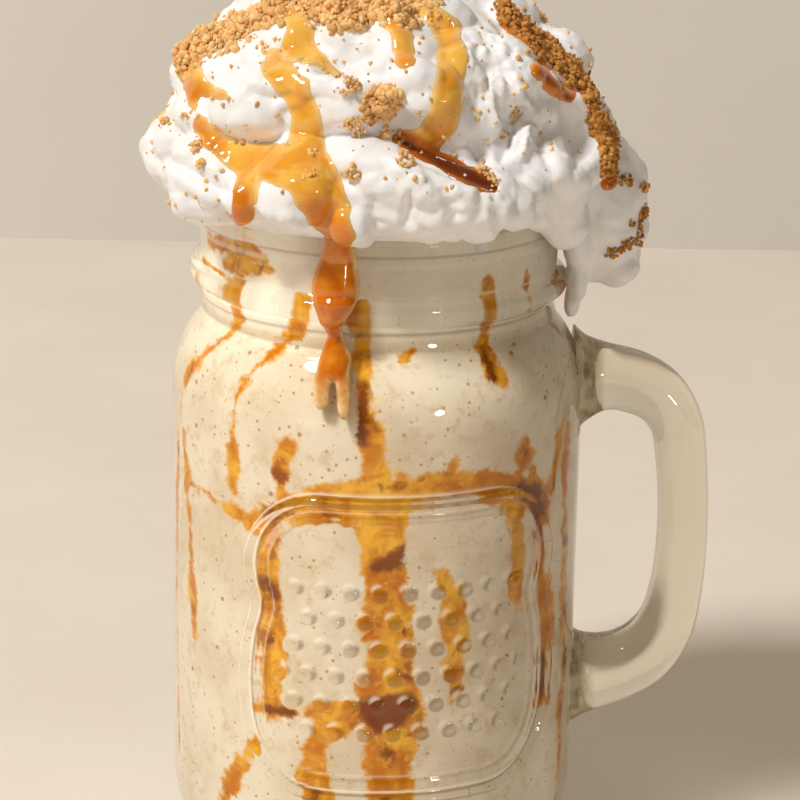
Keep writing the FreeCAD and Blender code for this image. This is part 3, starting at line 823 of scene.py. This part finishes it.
# Pushed in (negative) or raised strokes: depth and points (across, up, half width)
FRONT_STROKES = [
    (-3.2, [(2.5, 145.6, 1.5), (7.2, 142.6, 2.0), (12.8, 140.2, 2.4), (17.5, 137.9, 2.2),
     (21.5, 135.8, 1.3)]),
    (-3.4, [(-11.5, 157.6, 1.2), (-9.0, 158.4, 2.0), (-6.0, 159.6, 1.6), (-2.5, 160.6, 0.9)]),
    (-2.4, [(-2.0, 151.0, 2.0), (1.0, 148.6, 2.6), (4.4, 147.4, 1.8)]),
    (-2.6, [(17.0, 144.8, 1.2), (18.2, 142.4, 2.0), (19.4, 140.6, 1.2)]),
    (-2.4, [(17.6, 160.6, 1.2), (19.6, 157.6, 2.0), (22.6, 156.0, 1.2)]),
    (-2.8, [(36.0, 147.4, 2.2), (37.0, 143.6, 2.8), (36.4, 140.4, 1.8)]),
    (-1.8, [(12.5, 134.5, 1.2), (14.0, 129.5, 1.8)]), (-1.6, [(-1.5, 132.5, 1.2), (-1.0, 128.0, 1.8)]),
    (-1.6, [(21.5, 131.0, 1.0), (23.0, 126.5, 1.4)]), (1.0, [(3.0, 138.5, 1.2), (8.0, 137.0, 1.2)]),
    (-2.6, [(-39.0, 139.8, 1.0), (-34.0, 137.2, 1.8), (-29.0, 134.2, 1.2)]),
    (-1.8, [(-24.0, 152.8, 1.0), (-20.0, 151.6, 1.8), (-16.0, 152.6, 1.0)]),
    (-1.8, [(26.5, 150.0, 1.0), (23.5, 146.5, 1.4), (22.5, 141.0, 1.0)]),
    (-1.6, [(30.0, 147.0, 1.0), (29.6, 143.0, 1.6), (31.6, 139.0, 1.0)]),
    (1.2, [(24.0, 155.8, 0.9), (27.5, 149.5, 0.9)]), (1.2, [(20.0, 153.8, 0.8), (21.0, 147.6, 0.8)]),
    (1.2, [(27.0, 146.6, 0.8), (26.0, 141.6, 0.8)]), (-1.5, [(5.5, 134.5, 0.8), (5.0, 129.0, 1.2)]),
    (-2.0, [(29.5, 133.5, 1.0), (30.5, 129.5, 1.6)]),
]

# Where the cream is pulled and crinkled most
CRINKLED = [[(20, 160, 9), (26, 148, 9)], [(8, 136, 5), (22, 134, 5)]]
# On the sides that the front doesn't show: height, count, size and first angle of each ring
FAR_RINGS = [(142.0, 9, 8.0, 12.0), (154.0, 8, 7.5, 30.0), (165.0, 6, 7.0, 5.0)]


def unit_ball(level):
    shape = bmesh.new()
    bmesh.ops.create_icosphere(shape, subdivisions=level, radius=1.0)
    points = np.array([v.co[:] for v in shape.verts])
    faces = [[v.index for v in f.verts] for f in shape.faces]
    shape.free()
    return points, faces


def lump(centre, axes, half):
    """Ellipsoid about a centre with its half sizes along three directions."""
    points, faces = unit_ball(4)
    frame3 = np.array([np.array(axis[:]) * size for axis, size in zip(axes, half)])
    return make_piece("lump", points @ frame3 + np.array(centre[:]), faces)


def surface_axes(out, tilt=0.0):
    side = Vector((0, 0, 1)).cross(out)
    side = side.normalized() if side.length > 1e-6 else Vector((1, 0, 0))
    up = out.cross(side)
    turn = math.radians(tilt)
    return (side * math.cos(turn) + up * math.sin(turn), out, up * math.cos(turn) - side * math.sin(turn))


def make_cream(material):
    start = add_object("cream_start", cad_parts["whipped_cream"].data.copy())
    bake(start, ("REMESH", {"mode": "VOXEL", "voxel_size": 1.0 * MM}),
         ("SMOOTH", {"factor": 0.5, "iterations": 4}))
    tree = tree_of(start)
    parts = [start]
    world = (Vector((1, 0, 0)), Vector((0, 1, 0)), Vector((0, 0, 1)))
    for across, up, sink, half, tilt in FRONT_DOLLOPS:
        place, out = front_hit(tree, across, up)
        if place is not None:
            parts.append(lump(place - out * sink, surface_axes(out, tilt), half))
    for roll in FRONT_ROLLS:
        for across, up, half, sink in smooth_rows(roll, 7 * len(roll)):
            place, out = front_hit(tree, across, up)
            if place is not None:
                parts.append(lump(place - out * sink, world, (half, half, half)))
    for centre, half in FREE_LUMPS:
        parts.append(lump(Vector(centre), world, half))
    for ring_z, count, size, phase in FAR_RINGS:
        for i in range(count):
            angle = math.radians(-30.0 + phase + 250.0 * i / count + RNG.uniform(-7, 7))
            z = ring_z + RNG.uniform(-2.0, 2.0)
            far = Vector((90.0 * math.cos(angle), 90.0 * math.sin(angle), z + 30.0))
            place, out, _, _ = tree.ray_cast(far, (Vector((0, 0, z - 8.0)) - far).normalized())
            grow = RNG.uniform(0.8, 1.15)
            if place is not None:
                parts.append(lump(place - out * 3.4, surface_axes(out, RNG.uniform(-30, 30)),
                                  (size * grow * 1.15, 5.5 * grow, size * grow * 0.8)))
    cream = joined("whipped_cream_visual", parts)
    bake(cream, ("REMESH", {"mode": "VOXEL", "voxel_size": 0.5 * MM}),
         ("SMOOTH", {"factor": 0.5, "iterations": 4}))
    points = points_of(cream.data)
    out = normals_of(cream.data)
    across, up = elevation(points)
    front = np.clip(-out[:, 1] * 2.5 + 0.6, 0, 1)
    push = np.zeros(len(points))
    for depth, stroke in FRONT_STROKES:
        inside = stroke_depth(across, up, [stroke])
        width = max(r for _, _, r in stroke)
        push += depth * front * np.clip((inside + 0.8) / (width + 0.8), 0, 1) ** 1.5
    above_lip = np.clip((points[:, 2] - JAR_H - 1.0) / 4.0, 0.0, 1.0)
    outside = np.clip((np.hypot(points[:, 0], points[:, 1]) - LIP_R - 0.5) / 1.5, 0.0, 1.0)
    free = np.maximum(above_lip, outside)
    # rounded folds with sharp creases between them
    folded = points * np.array([1.0, 1.0, 1.35])
    push += free * (2.2 * (np.abs(smooth_noise(folded, 10.5, 1.0, 1)) - 0.2)
                    + 0.6 * (np.abs(smooth_noise(folded, 4.6, 6.0, 1)) - 0.2))
    points = points + out * push[:, None]
    set_points(cream.data, points)
    bake(cream, ("SMOOTH", {"factor": 0.5, "iterations": 1}))
    calm = cream.data.copy()
    points = points_of(cream.data)
    out = normals_of(cream.data)
    across, up = elevation(points)
    # pulled, crinkled cream: strongest on the upper right of the front and in patches elsewhere
    crinkle = np.clip(stroke_depth(across, up, CRINKLED) / 6.0, 0, 1)
    crinkle = np.maximum(crinkle * front_share(out), 0.12 + 0.4 * smooth_noise(points, 14.0, 2.0, 1))
    stretched = points * np.array([1.0, 1.0, 0.55])
    fine = 1.5 * (np.abs(smooth_noise(stretched, 3.2, 3.0, 2)) - 0.22)
    fine = fine + 0.22 * smooth_noise(points, 1.3, 4.0, 2)
    points = points + out * (free * np.clip(crinkle, 0.06, 1.0) * fine)[:, None]
    # the plug in the mouth lies inside the drink, which reaches just into the glass
    round_r = np.hypot(points[:, 0], points[:, 1])
    mouth_r = NECK_R - NECK_WALL
    plug = (points[:, 2] < JAR_H - 0.3) & (round_r < mouth_r + 0.9) & (round_r > mouth_r - 2.5)
    points[plug, :2] *= ((mouth_r - 1.0) / round_r[plug])[:, None]
    set_points(cream.data, points)
    dress(cream, material)
    return cream, calm


def front_share(out):
    """1 where a surface faces the front, down to 0 where it turns away."""
    return np.clip(-out[:, 1] * 3.0 + 0.3, 0, 1)


# ---- caramel on the cream -----------------------------------------------

# Seen from the front: (across, up, half width) along each
SAUCE_STROKES = [
    [(-16.6, 168.5, 2.6), (-15.2, 164.5, 2.7), (-15.6, 161.6, 3.0), (-11.5, 159.0, 1.6),
     (-8.4, 156.4, 0.9)],
    [(-19.5, 159.6, 1.6), (-19.2, 157.0, 2.6), (-17.6, 154.5, 2.6), (-15.4, 152.8, 2.7),
     (-14.0, 149.0, 2.7), (-13.8, 145.0, 3.0), (-13.9, 141.0, 4.2), (-12.0, 136.0, 5.0),
     (-9.5, 130.8, 4.4), (-7.4, 126.4, 2.8)],
    [(-33.0, 146.4, 1.6), (-30.4, 143.6, 2.3), (-26.4, 141.0, 2.8), (-21.5, 139.4, 3.6),
     (-16.0, 138.5, 4.4)],
    [(-23.5, 137.5, 2.4), (-25.2, 133.4, 2.2), (-25.6, 130.4, 2.4)],
    [(-34.4, 156.5, 1.6), (-34.2, 153.4, 2.0), (-34.6, 150.4, 1.2)],
    [(-34.2, 153.8, 1.6), (-31.2, 152.6, 1.3), (-29.0, 152.2, 0.9)],
    [(1.6, 167.0, 1.8), (3.6, 163.0, 2.2), (4.2, 159.6, 2.0)],
    [(8.6, 168.0, 1.8), (11.6, 165.0, 2.6), (13.0, 161.5, 2.6), (12.6, 157.0, 2.6),
     (11.9, 151.5, 2.9), (11.2, 147.0, 3.0), (8.6, 144.4, 2.6), (4.8, 144.4, 1.7)],
    [(3.0, 144.6, 0.9), (7.2, 142.0, 1.3), (12.8, 139.7, 1.6), (17.5, 137.4, 1.6), (20.9, 135.6, 1.2)],
    [(28.6, 158.0, 1.5), (31.5, 154.4, 1.6), (34.4, 152.8, 1.2)],
    [(39.6, 149.4, 1.3), (41.3, 145.4, 1.5), (42.0, 141.3, 1.5), (42.2, 137.0, 1.6)],
    [(22.5, 166.5, 1.3), (26.5, 163.5, 1.4), (30.5, 160.0, 1.2)],
]
# Darker caramel: 0.5 is a rich amber and 1 nearly black-brown
SAUCE_DEEP = [
    (1.0, [(3.0, 144.2, 1.4), (12.8, 139.5, 2.2), (21.2, 135.4, 1.8)]),
    (0.8, [(29.3, 157.0, 1.8), (34.4, 152.4, 1.6)]), (0.8, [(40.2, 149.0, 2.0), (42.6, 136.8, 2.0)]),
    (0.5, [(-26.0, 132.5, 2.6), (-26.0, 128.6, 3.0)]),
    (0.45, [(-12.0, 131.0, 2.4), (-7.6, 125.5, 3.4)]),
    (0.4, [(-34.8, 153.0, 2.2), (-31.5, 151.0, 1.6)]), (0.35, [(4.6, 158.4, 2.2)]),
    (0.35, [(10.6, 144.4, 2.4)]), (0.4, [(-33.6, 146.6, 1.8), (-30.5, 142.0, 1.6)]),
    (0.6, [(22.5, 166.5, 2.0), (30.5, 160.0, 2.0)]),
]
# On the far side: (degrees from +X, height, half width)
SAUCE_BACK = [
    [(60, 160, 2.6), (64, 152, 3.0), (60, 144, 3.4), (66, 138, 2.4)],
    [(120, 166, 2.2), (118, 156, 3.2), (126, 148, 3.0), (122, 138, 2.6)],
    [(64, 152, 2.4), (80, 149, 2.0), (98, 152, 2.2), (118, 154, 2.4)],
    [(160, 160, 2.0), (166, 150, 2.8), (162, 140, 2.2)],
]
SAUCE_THICK = 0.55


def make_sauce(calm, material):
    """Skin of caramel over the calm cream surface: rounded edges that dip under the cream."""
    points = points_of(calm)
    out = normals_of(calm)
    across, up = elevation(points)
    ragged = 0.75 * smooth_noise(points, 4.5, 9.0, 2)
    inside = stroke_depth(across, up, SAUCE_STROKES) + np.where(front_share(out) > 0.05, 0.0, -50.0)
    turn = np.degrees(np.arctan2(points[:, 1], points[:, 0]))
    arc = math.radians(1.0) * 34.0
    back_runs = [[(a * arc, z, r) for a, z, r in run] for run in SAUCE_BACK]
    back = stroke_depth(turn * arc, points[:, 2], back_runs)
    inside = np.maximum(inside, np.where(points[:, 1] > 4.0, back, -50.0)) + ragged
    inside = np.where(points[:, 2] < JAR_H - 8.0, -50.0, inside)
    deep = np.zeros(len(points))
    for share, stroke in SAUCE_DEEP:
        deep = np.maximum(deep, share * np.clip(stroke_depth(across, up, [stroke]) / 4.0 + 0.6, 0, 1))
    rise = np.where(inside > 0, SAUCE_THICK * np.sqrt(np.clip(inside / 2.2, 0, 1)), inside * 0.9)
    rise = np.clip(rise, -0.9, None) + 0.05
    keep = inside > -1.3
    faces = [list(f.vertices) for f in calm.polygons if all(keep[i] for i in f.vertices)]
    used = sorted({i for f in faces for i in f})
    index = {old: new for new, old in enumerate(used)}
    used = np.array(used)
    skin = points[used] + out[used] * rise[used, None]
    sauce = make_piece("caramel_sauce", skin, [[index[i] for i in f] for f in faces])
    add_values(sauce, "thick", np.clip(inside[used], 0, None))
    add_values(sauce, "deep", deep[used])
    bake(sauce, ("SMOOTH", {"factor": 0.5, "iterations": 3}),
         ("SOLIDIFY", {"thickness": 0.5 * MM, "offset": -1.0}))
    dress(sauce, material)
    return sauce


# ---- caramel run on the outside of the glass ----------------------------

# (degrees from +X, height, half width, thickness) down the glass
RUN_SPOTS = [
    (-102.4, 134.5, 2.6, 2.2), (-102.2, 132.0, 2.9, 2.4), (-102.4, 129.4, 3.3, 2.7),
    (-103.0, 126.4, 4.0, 3.4), (-103.2, 123.8, 4.3, 3.8), (-103.0, 121.4, 3.6, 3.3),
    (-103.8, 118.6, 2.1, 2.6), (-103.2, 116.0, 1.3, 2.3), (-103.2, 113.8, 2.0, 2.6),
    (-102.6, 111.6, 2.8, 2.9), (-102.0, 109.4, 2.4, 2.3),
]
RUN_TOES = [
    [(-105.4, 111.0, 1.5, 1.5), (-105.6, 107.4, 1.6, 1.3), (-105.2, 104.8, 1.4, 1.2)],
    [(-100.2, 109.6, 1.3, 1.5), (-99.2, 106.0, 1.3, 1.3), (-98.8, 103.4, 1.2, 1.1)],
]


GLASS_SIDE = np.array(wall_profile(0.0, TOE_HEIGHT, JAR_H - LIP_BAND, NECK_R, RECESS_R, 0.6))


def glass_radius(z):
    """Outside radius of the glass at a height, with a rough allowance for the thread."""
    if z > JAR_H - LIP_BAND:
        return LIP_R
    if z > RECESS_Z + 2.0:
        return NECK_R + (1.4 if abs(z - 120.5) < 1.8 else 0.3)
    return float(np.interp(z, GLASS_SIDE[:, 1], GLASS_SIDE[:, 0]))


def flow_shape(name, chains, voxel, material):
    """Rounded body of liquid that clings to the glass along chains of spots."""
    parts = []
    for chain in chains:
        for angle, z, half, thick in smooth_rows(chain, 8 * len(chain)):
            a = math.radians(angle)
            out = Vector((math.cos(a), math.sin(a), 0.0))
            side = Vector((-out.y, out.x, 0.0))
            place = out * (glass_radius(z) - 0.4) + Vector((0, 0, z))
            parts.append(lump(place, (side, out, Vector((0, 0, 1))), (half, thick, 1.8)))
    flow = joined(name, parts)
    bake(flow, ("REMESH", {"mode": "VOXEL", "voxel_size": voxel * MM}),
         ("SMOOTH", {"factor": 0.5, "iterations": 8}))
    points = points_of(flow.data)
    proud = np.hypot(points[:, 0], points[:, 1]) - np.array([glass_radius(z) for z in points[:, 2]])
    add_values(flow, "thick", proud)
    dress(flow, material)
    return flow


# ---- crumbs -------------------------------------------------------------


def grain_shapes(count=14):
    """Angular little shapes: a ball with its points pushed in and out."""
    points, faces = unit_ball(1)
    shapes = []
    for _ in range(count):
        stretch = RNG.uniform(0.7, 1.25, 3)
        shapes.append(points * stretch * RNG.uniform(0.66, 1.22, (len(points), 1)))
    return shapes, np.array(faces)


GRAINS, GRAIN_FACES = grain_shapes()


def random_turn():
    q = RNG.normal(size=4)
    w, x, y, z = q / np.linalg.norm(q)
    return np.array([[1 - 2 * (y * y + z * z), 2 * (x * y - z * w), 2 * (x * z + y * w)],
                     [2 * (x * y + z * w), 1 - 2 * (x * x + z * z), 2 * (y * z - x * w)],
                     [2 * (x * z - y * w), 2 * (y * z + x * w), 1 - 2 * (x * x + y * y)]])


def crumb_piece(name, grains, material, core=None):
    """One mesh of grains, each a centre and a half size in millimetres, over an optional core."""
    points = []
    faces = []
    start = 0
    for centre, size in grains:
        shape = GRAINS[RNG.integers(len(GRAINS))]
        points.append(shape @ random_turn() * size + np.array(centre[:]))
        faces.append(GRAIN_FACES + start)
        start += len(shape)
    rows = np.vstack(faces).tolist()
    if core is not None:
        core_points, core_faces = core
        points.append(core_points)
        rows += (core_faces + start).tolist()
    return make_piece(name, np.vstack(points), rows, material)


def clump_grains(place, out, radius, height, count, sizes):
    """Grains heaped on a spot of the cream."""
    side, _, up = surface_axes(out)
    grains = []
    for _ in range(count):
        r = radius * math.sqrt(RNG.uniform(0, 1))
        a = RNG.uniform(0, 2 * math.pi)
        size = RNG.uniform(*sizes) * (1.15 - 0.4 * r / radius)
        lift = height * (1 - (r / radius) ** 2) * RNG.uniform(0.1, 1.0)
        spot = place + side * (r * math.cos(a)) + up * (r * math.sin(a))
        grains.append((spot + out * (lift + 0.2 * size), size))
    return grains


def heap_parts(tree, strokes, height, sizes):
    """Grains heaped along strokes seen from the front, over a low core of rounded lumps."""
    core_points, core_faces = unit_ball(2)
    core_faces = np.array(core_faces)
    points = []
    faces = []
    grains = []
    start = 0
    for stroke in strokes:
        for across, up, half in smooth_rows(stroke, 6 * len(stroke)):
            place, out = front_hit(tree, across, up)
            if place is None:
                continue
            axes = np.array([np.array(axis[:]) for axis in surface_axes(out)])
            sizes3 = np.array([0.68 * half, 0.42 * height, 0.68 * half])
            faces.append(core_faces + start)
            points.append((core_points * sizes3) @ axes + np.array(place[:]))
            start += len(core_points)
            for _ in range(int(5 + 5.5 * half * half)):
                r = half * math.sqrt(RNG.uniform(0, 1)) * RNG.choice([1.0, 1.0, 1.0, 1.45])
                a = RNG.uniform(0, 2 * math.pi)
                spot, lean = front_hit(tree, across + r * math.cos(a), up + r * math.sin(a))
                if spot is None:
                    continue
                size = RNG.uniform(*sizes) * RNG.choice([0.7, 0.9, 1.0, 1.7])
                bulge = 0.65 + 0.9 * noise.noise(Vector((across, up, height)) / 3.2)
                lift = height * bulge * max(0.0, 1 - (r / half) ** 2) * RNG.uniform(0.0, 1.0) ** 0.7
                grains.append((spot + lean * (lift + 0.15 * size), size))
    return grains, (np.vstack(points), np.vstack(faces))


# Clusters on the cream seen from the front: across, up, half size, height, grains
CLUMPS = [
    (-6.0, 154.0, 2.0, 1.2, 34), (-8.6, 156.0, 1.5, 0.8, 20), (-4.8, 147.0, 2.3, 1.4, 40),
    (-2.4, 148.2, 1.4, 0.8, 14), (4.2, 140.7, 1.9, 1.2, 30), (-5.1, 138.2, 1.5, 1.1, 22),
    (24.1, 149.8, 1.4, 1.0, 18), (0.8, 145.4, 1.6, 0.6, 16), (3.6, 144.6, 1.5, 0.6, 16),
    (21.0, 134.8, 1.6, 0.6, 18), (19.2, 138.6, 1.8, 0.8, 26), (20.8, 137.0, 1.2, 0.6, 14),
    (45.4, 137.2, 1.5, 0.9, 20), (48.6, 136.0, 1.3, 0.8, 16), (48.6, 131.4, 1.9, 1.0, 28),
    (48.2, 128.8, 1.6, 0.9, 22), (43.4, 123.6, 1.5, 0.8, 20), (45.9, 125.2, 1.9, 0.8, 26),
    (48.2, 126.0, 1.2, 0.7, 14), (46.8, 129.5, 0.9, 0.4, 8), (38.6, 151.6, 2.0, 1.0, 30),
    (40.6, 147.0, 2.0, 1.2, 34), (41.8, 142.4, 1.8, 1.2, 32), (42.4, 138.4, 1.6, 1.1, 26),
    (31.5, 159.4, 1.8, 1.0, 26), (35.2, 156.4, 2.0, 1.1, 30), (27.0, 162.8, 1.8, 1.0, 26),
    (-12.5, 141.0, 1.5, 0.7, 14), (-13.0, 137.0, 1.7, 0.7, 16), (-36.0, 147.6, 1.2, 0.6, 12),
    (-34.0, 142.4, 1.4, 0.6, 14), (-39.8, 146.8, 1.2, 0.6, 12), (-16.6, 143.0, 1.1, 0.5, 9),
    (-33.0, 139.4, 1.1, 0.5, 9), (9.6, 166.8, 2.0, 1.0, 26), (-21.0, 160.6, 1.2, 0.6, 10),
]


def lone_grain(place, out):
    """A single grain pressed a little into the cream. Most are small."""
    size = 0.18 + 0.42 * RNG.uniform(0, 1) ** 2.2
    return (place + out * 0.25 * size, size)


def loose_grains(tree, count):
    """Single grains scattered over the cream, more of them near the heaps."""
    grains = []
    while len(grains) < count:
        across = RNG.uniform(-43, 48)
        up = RNG.uniform(128, 172)
        crowd = math.exp(-(((up - 160) / 14) ** 2)) + 0.8 * math.exp(-(((across + 33) / 8) ** 2))
        crowd += 0.7 * math.exp(-(((across - 20) / 9) ** 2) - (((up - 148) / 14) ** 2)) + 0.12
        if RNG.uniform(0, 1.2) > crowd:
            continue
        place, out = front_hit(tree, across, up)
        if place is None or place.z < JAR_H - 14:
            continue
        grains.append(lone_grain(place, out))
    return grains


def back_grains(tree, count, clumps):
    """Crumbs on the sides that the front doesn't show."""
    grains = []
    for i in range(count + clumps):
        angle = math.radians(RNG.uniform(-25, 205))
        z = RNG.uniform(130, 176)
        far = Vector((95 * math.cos(angle), 95 * math.sin(angle), z + 35))
        place, out, _, _ = tree.ray_cast(far, (Vector((0, 0, z - 6)) - far).normalized())
        if place is None:
            continue
        if i < clumps:
            radius = RNG.uniform(1.0, 2.6)
            grains += clump_grains(place, out, radius, radius * 0.5, int(7 * radius ** 1.7), (0.35, 0.8))
        else:
            grains.append(lone_grain(place, out))
    return grains


# ---- stage, light and camera --------------------------------------------

WALL_Y = 520.0            # where the table meets the wall, seen as the line behind the jar


def make_stage():
    table = plain_look("table_top", srgb(231, 220, 206), srgb(235, 225, 212), 60.0, 0.55)
    wall = plain_look("wall", srgb(226, 221, 211), srgb(231, 226, 216), 200.0, 0.9, open_back=True)
    width = 2500.0
    front = -6000.0
    height = 2200.0
    foot = [(-width, WALL_Y, 0), (width, WALL_Y, 0)]
    floor = make_piece("floor", [(-width, front, 0), (width, front, 0)] + foot[::-1], [(0, 1, 2, 3)], table)
    head = [(width, WALL_Y, height), (-width, WALL_Y, height)]
    backdrop = make_piece("backdrop", foot + head, [(0, 1, 2, 3)], wall)


# Soft main light, high on the left in front
KEY_PLACE = (-1.41, -1.31, 2.42)
KEY_AIM = (0.0, 0.0, 0.12)
KEY_SIZE = 0.60
KEY_POWER = 74.0
# Low, narrow light for what the room sends back to the jar's right side
CARD_PLACE = (0.9, -1.3, 0.25)
CARD_AIM = (0.01, 0.0, 0.05)
CARD_POWER = 44.0
# Warm light from all round: base, more for each unit up, and less towards the right
SKY_COLOUR = (1.0, 0.78, 0.56, 1.0)
SKY_BASE = 0.065
SKY_UP = 0.13
SKY_RIGHT = -0.06


def add_light(name, kind, place, aim, power, colour, **settings):
    data = bpy.data.lights.new(name, kind)
    data.energy = power
    data.color = colour
    for key, value in settings.items():
        setattr(data, key, value)
    lamp = bpy.data.objects.new(name, data)
    bpy.context.collection.objects.link(lamp)
    lamp.location = place
    lamp.rotation_euler = (Vector(aim) - Vector(place)).to_track_quat("-Z", "Y").to_euler()


def make_lights():
    add_light("key", "AREA", KEY_PLACE, KEY_AIM, KEY_POWER, (1.0, 0.985, 0.97), shape="DISK", size=KEY_SIZE)
    add_light("card", "SPOT", CARD_PLACE, CARD_AIM, CARD_POWER, (1.0, 0.95, 0.88),
              spot_size=math.radians(6.4), spot_blend=0.7, shadow_soft_size=0.16)
    world = bpy.data.worlds.new("studio")
    bpy.context.scene.world = world
    world.use_nodes = True
    nodes = world.node_tree.nodes
    links = world.node_tree.links
    parts = nodes.new("ShaderNodeSeparateXYZ")
    links.new(nodes.new("ShaderNodeTexCoord").outputs["Generated"], parts.inputs[0])
    strength = None
    for axis, share in (("Z", SKY_UP), ("X", SKY_RIGHT)):
        term = nodes.new("ShaderNodeMath")
        term.operation = "MULTIPLY_ADD"
        links.new(parts.outputs[axis], term.inputs[0])
        term.inputs[1].default_value = share
        if strength is None:
            term.inputs[2].default_value = SKY_BASE
        else:
            links.new(strength, term.inputs[2])
        strength = term.outputs[0]
    sky = nodes["Background"]
    sky.inputs["Color"].default_value = SKY_COLOUR
    links.new(strength, sky.inputs["Strength"])


def make_camera():
    data = bpy.data.cameras.new("camera")
    data.lens = LENS
    data.sensor_width = 36.0
    data.clip_start = 0.01
    data.clip_end = 10.0
    camera = bpy.data.objects.new("camera", data)
    bpy.context.collection.objects.link(camera)
    down, turn, roll = (math.radians(v) for v in (EYE_DOWN, EYE_TURN, EYE_ROLL))
    ahead = Vector((math.sin(turn) * math.cos(down), math.cos(turn) * math.cos(down), -math.sin(down)))
    right = ahead.cross(Vector((0, 0, 1))).normalized()
    up = right.cross(ahead)
    tilted_right = right * math.cos(roll) + up * math.sin(roll)
    tilted_up = up * math.cos(roll) - right * math.sin(roll)
    turned = Matrix((tilted_right, tilted_up, -ahead)).transposed()
    camera.matrix_world = Matrix.Translation(EYE * MM) @ turned.to_4x4()
    bpy.context.scene.camera = camera


# ---- put together -------------------------------------------------------

# Heaps seen from the front: height and strokes of (across, up, half width)
CRUMB_HEAPS = {
    "crumb_heap_left": (2.2, [
        [(-36.0, 156.4, 1.5), (-35.2, 159.4, 2.2), (-31.5, 161.8, 2.3), (-27.2, 163.6, 2.3),
         (-23.0, 165.8, 1.9), (-19.5, 167.8, 2.4), (-17.0, 171.4, 3.2)],
    ]),
    "crumb_heap_top": (2.6, [
        [(-14.5, 169.6, 3.2), (-9.5, 168.2, 3.2), (-5.0, 168.6, 2.6), (0.0, 168.6, 2.4), (4.5, 167.2, 1.8)],
        [(-12.0, 174.0, 4.0), (-4.0, 175.0, 4.0), (4.0, 174.0, 3.6), (9.0, 171.5, 3.0)],
        [(-7.0, 166.4, 1.6), (-3.5, 165.6, 1.0)],
    ]),
    "crumb_ridge_high": (1.6, [
        [(21.5, 168.8, 1.5), (25.0, 165.6, 1.6), (28.5, 162.6, 1.6), (32.0, 159.8, 1.7),
         (35.0, 157.2, 1.8), (37.2, 154.4, 1.4), (38.4, 151.6, 1.1)],
    ]),
    "crumb_ridge_low": (1.5, [
        [(39.0, 149.8, 1.3), (40.4, 147.6, 1.5), (41.6, 145.2, 1.6), (42.0, 142.0, 1.3),
         (41.9, 139.2, 1.4)],
    ]),
    "crumb_clump_front": (2.4, [[(-1.0, 150.0, 2.2), (0.4, 151.4, 2.4), (1.2, 152.6, 1.8)]]),
}
# Half sizes of grains in millimetres
HEAP_GRAINS = (0.30, 0.58)
CLUSTER_GRAINS = (0.26, 0.56)
LOOSE_COUNT = 330
FAR_COUNT = 260
FAR_CLUMPS = 34
SHADED_BEYOND = 26.0      # clusters further across than this lie on the right side, where shade falls, and get the browner crumb: painted shade


def main():
    scene = bpy.context.scene
    scene.view_settings.view_transform = "Standard"
    make_camera()
    make_stage()
    make_lights()

    jar = make_jar(glass_look(), handle_look())
    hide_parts("glass_jar")

    drink = make_drink(drink_look())
    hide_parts("milkshake")

    cream, calm = make_cream(cream_look())
    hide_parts("whipped_cream")

    caramel = sauce_look()
    sauce = make_sauce(calm, caramel)
    run = flow_shape("caramel_run_visual", [RUN_SPOTS] + RUN_TOES, 0.3, run_look())
    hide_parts("caramel_run")

    tree = tree_of(cream)
    toast = crumb_look("crumb", srgb(255, 224, 164), srgb(240, 182, 108))
    pieces = [jar, drink, cream, sauce, run]
    # painted shade: a browner copy of the crumb for the ridges and the clusters on the shaded right side
    brown = crumb_look("crumb_painted_shade", srgb(232, 172, 92), srgb(168, 108, 42))
    for node, (height, strokes) in CRUMB_HEAPS.items():
        grains, core = heap_parts(tree, strokes, height, HEAP_GRAINS)
        heap = crumb_piece(node + "_visual", grains, brown if "ridge" in node else toast, core)
        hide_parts(node)
        pieces.append(heap)
    clumps = {"crumb_clusters": [], "crumb_clusters_painted_shade": []}
    for across, up, radius, height, count in CLUMPS:
        place, out = front_hit(tree, across, up)
        if place is not None:
            name = "crumb_clusters_painted_shade" if across > SHADED_BEYOND else "crumb_clusters"
            clumps[name] += clump_grains(place, out, radius, height, count, CLUSTER_GRAINS)
    pieces.append(crumb_piece("crumb_clusters", clumps["crumb_clusters"], toast))
    pieces.append(crumb_piece("crumb_clusters_painted_shade", clumps["crumb_clusters_painted_shade"], brown))
    pieces.append(crumb_piece("crumb_loose", loose_grains(tree, LOOSE_COUNT), toast))
    pieces.append(crumb_piece("crumb_far_side", back_grains(tree, FAR_COUNT, FAR_CLUMPS), toast))
    for piece in pieces:
        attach(piece, "root")


main()
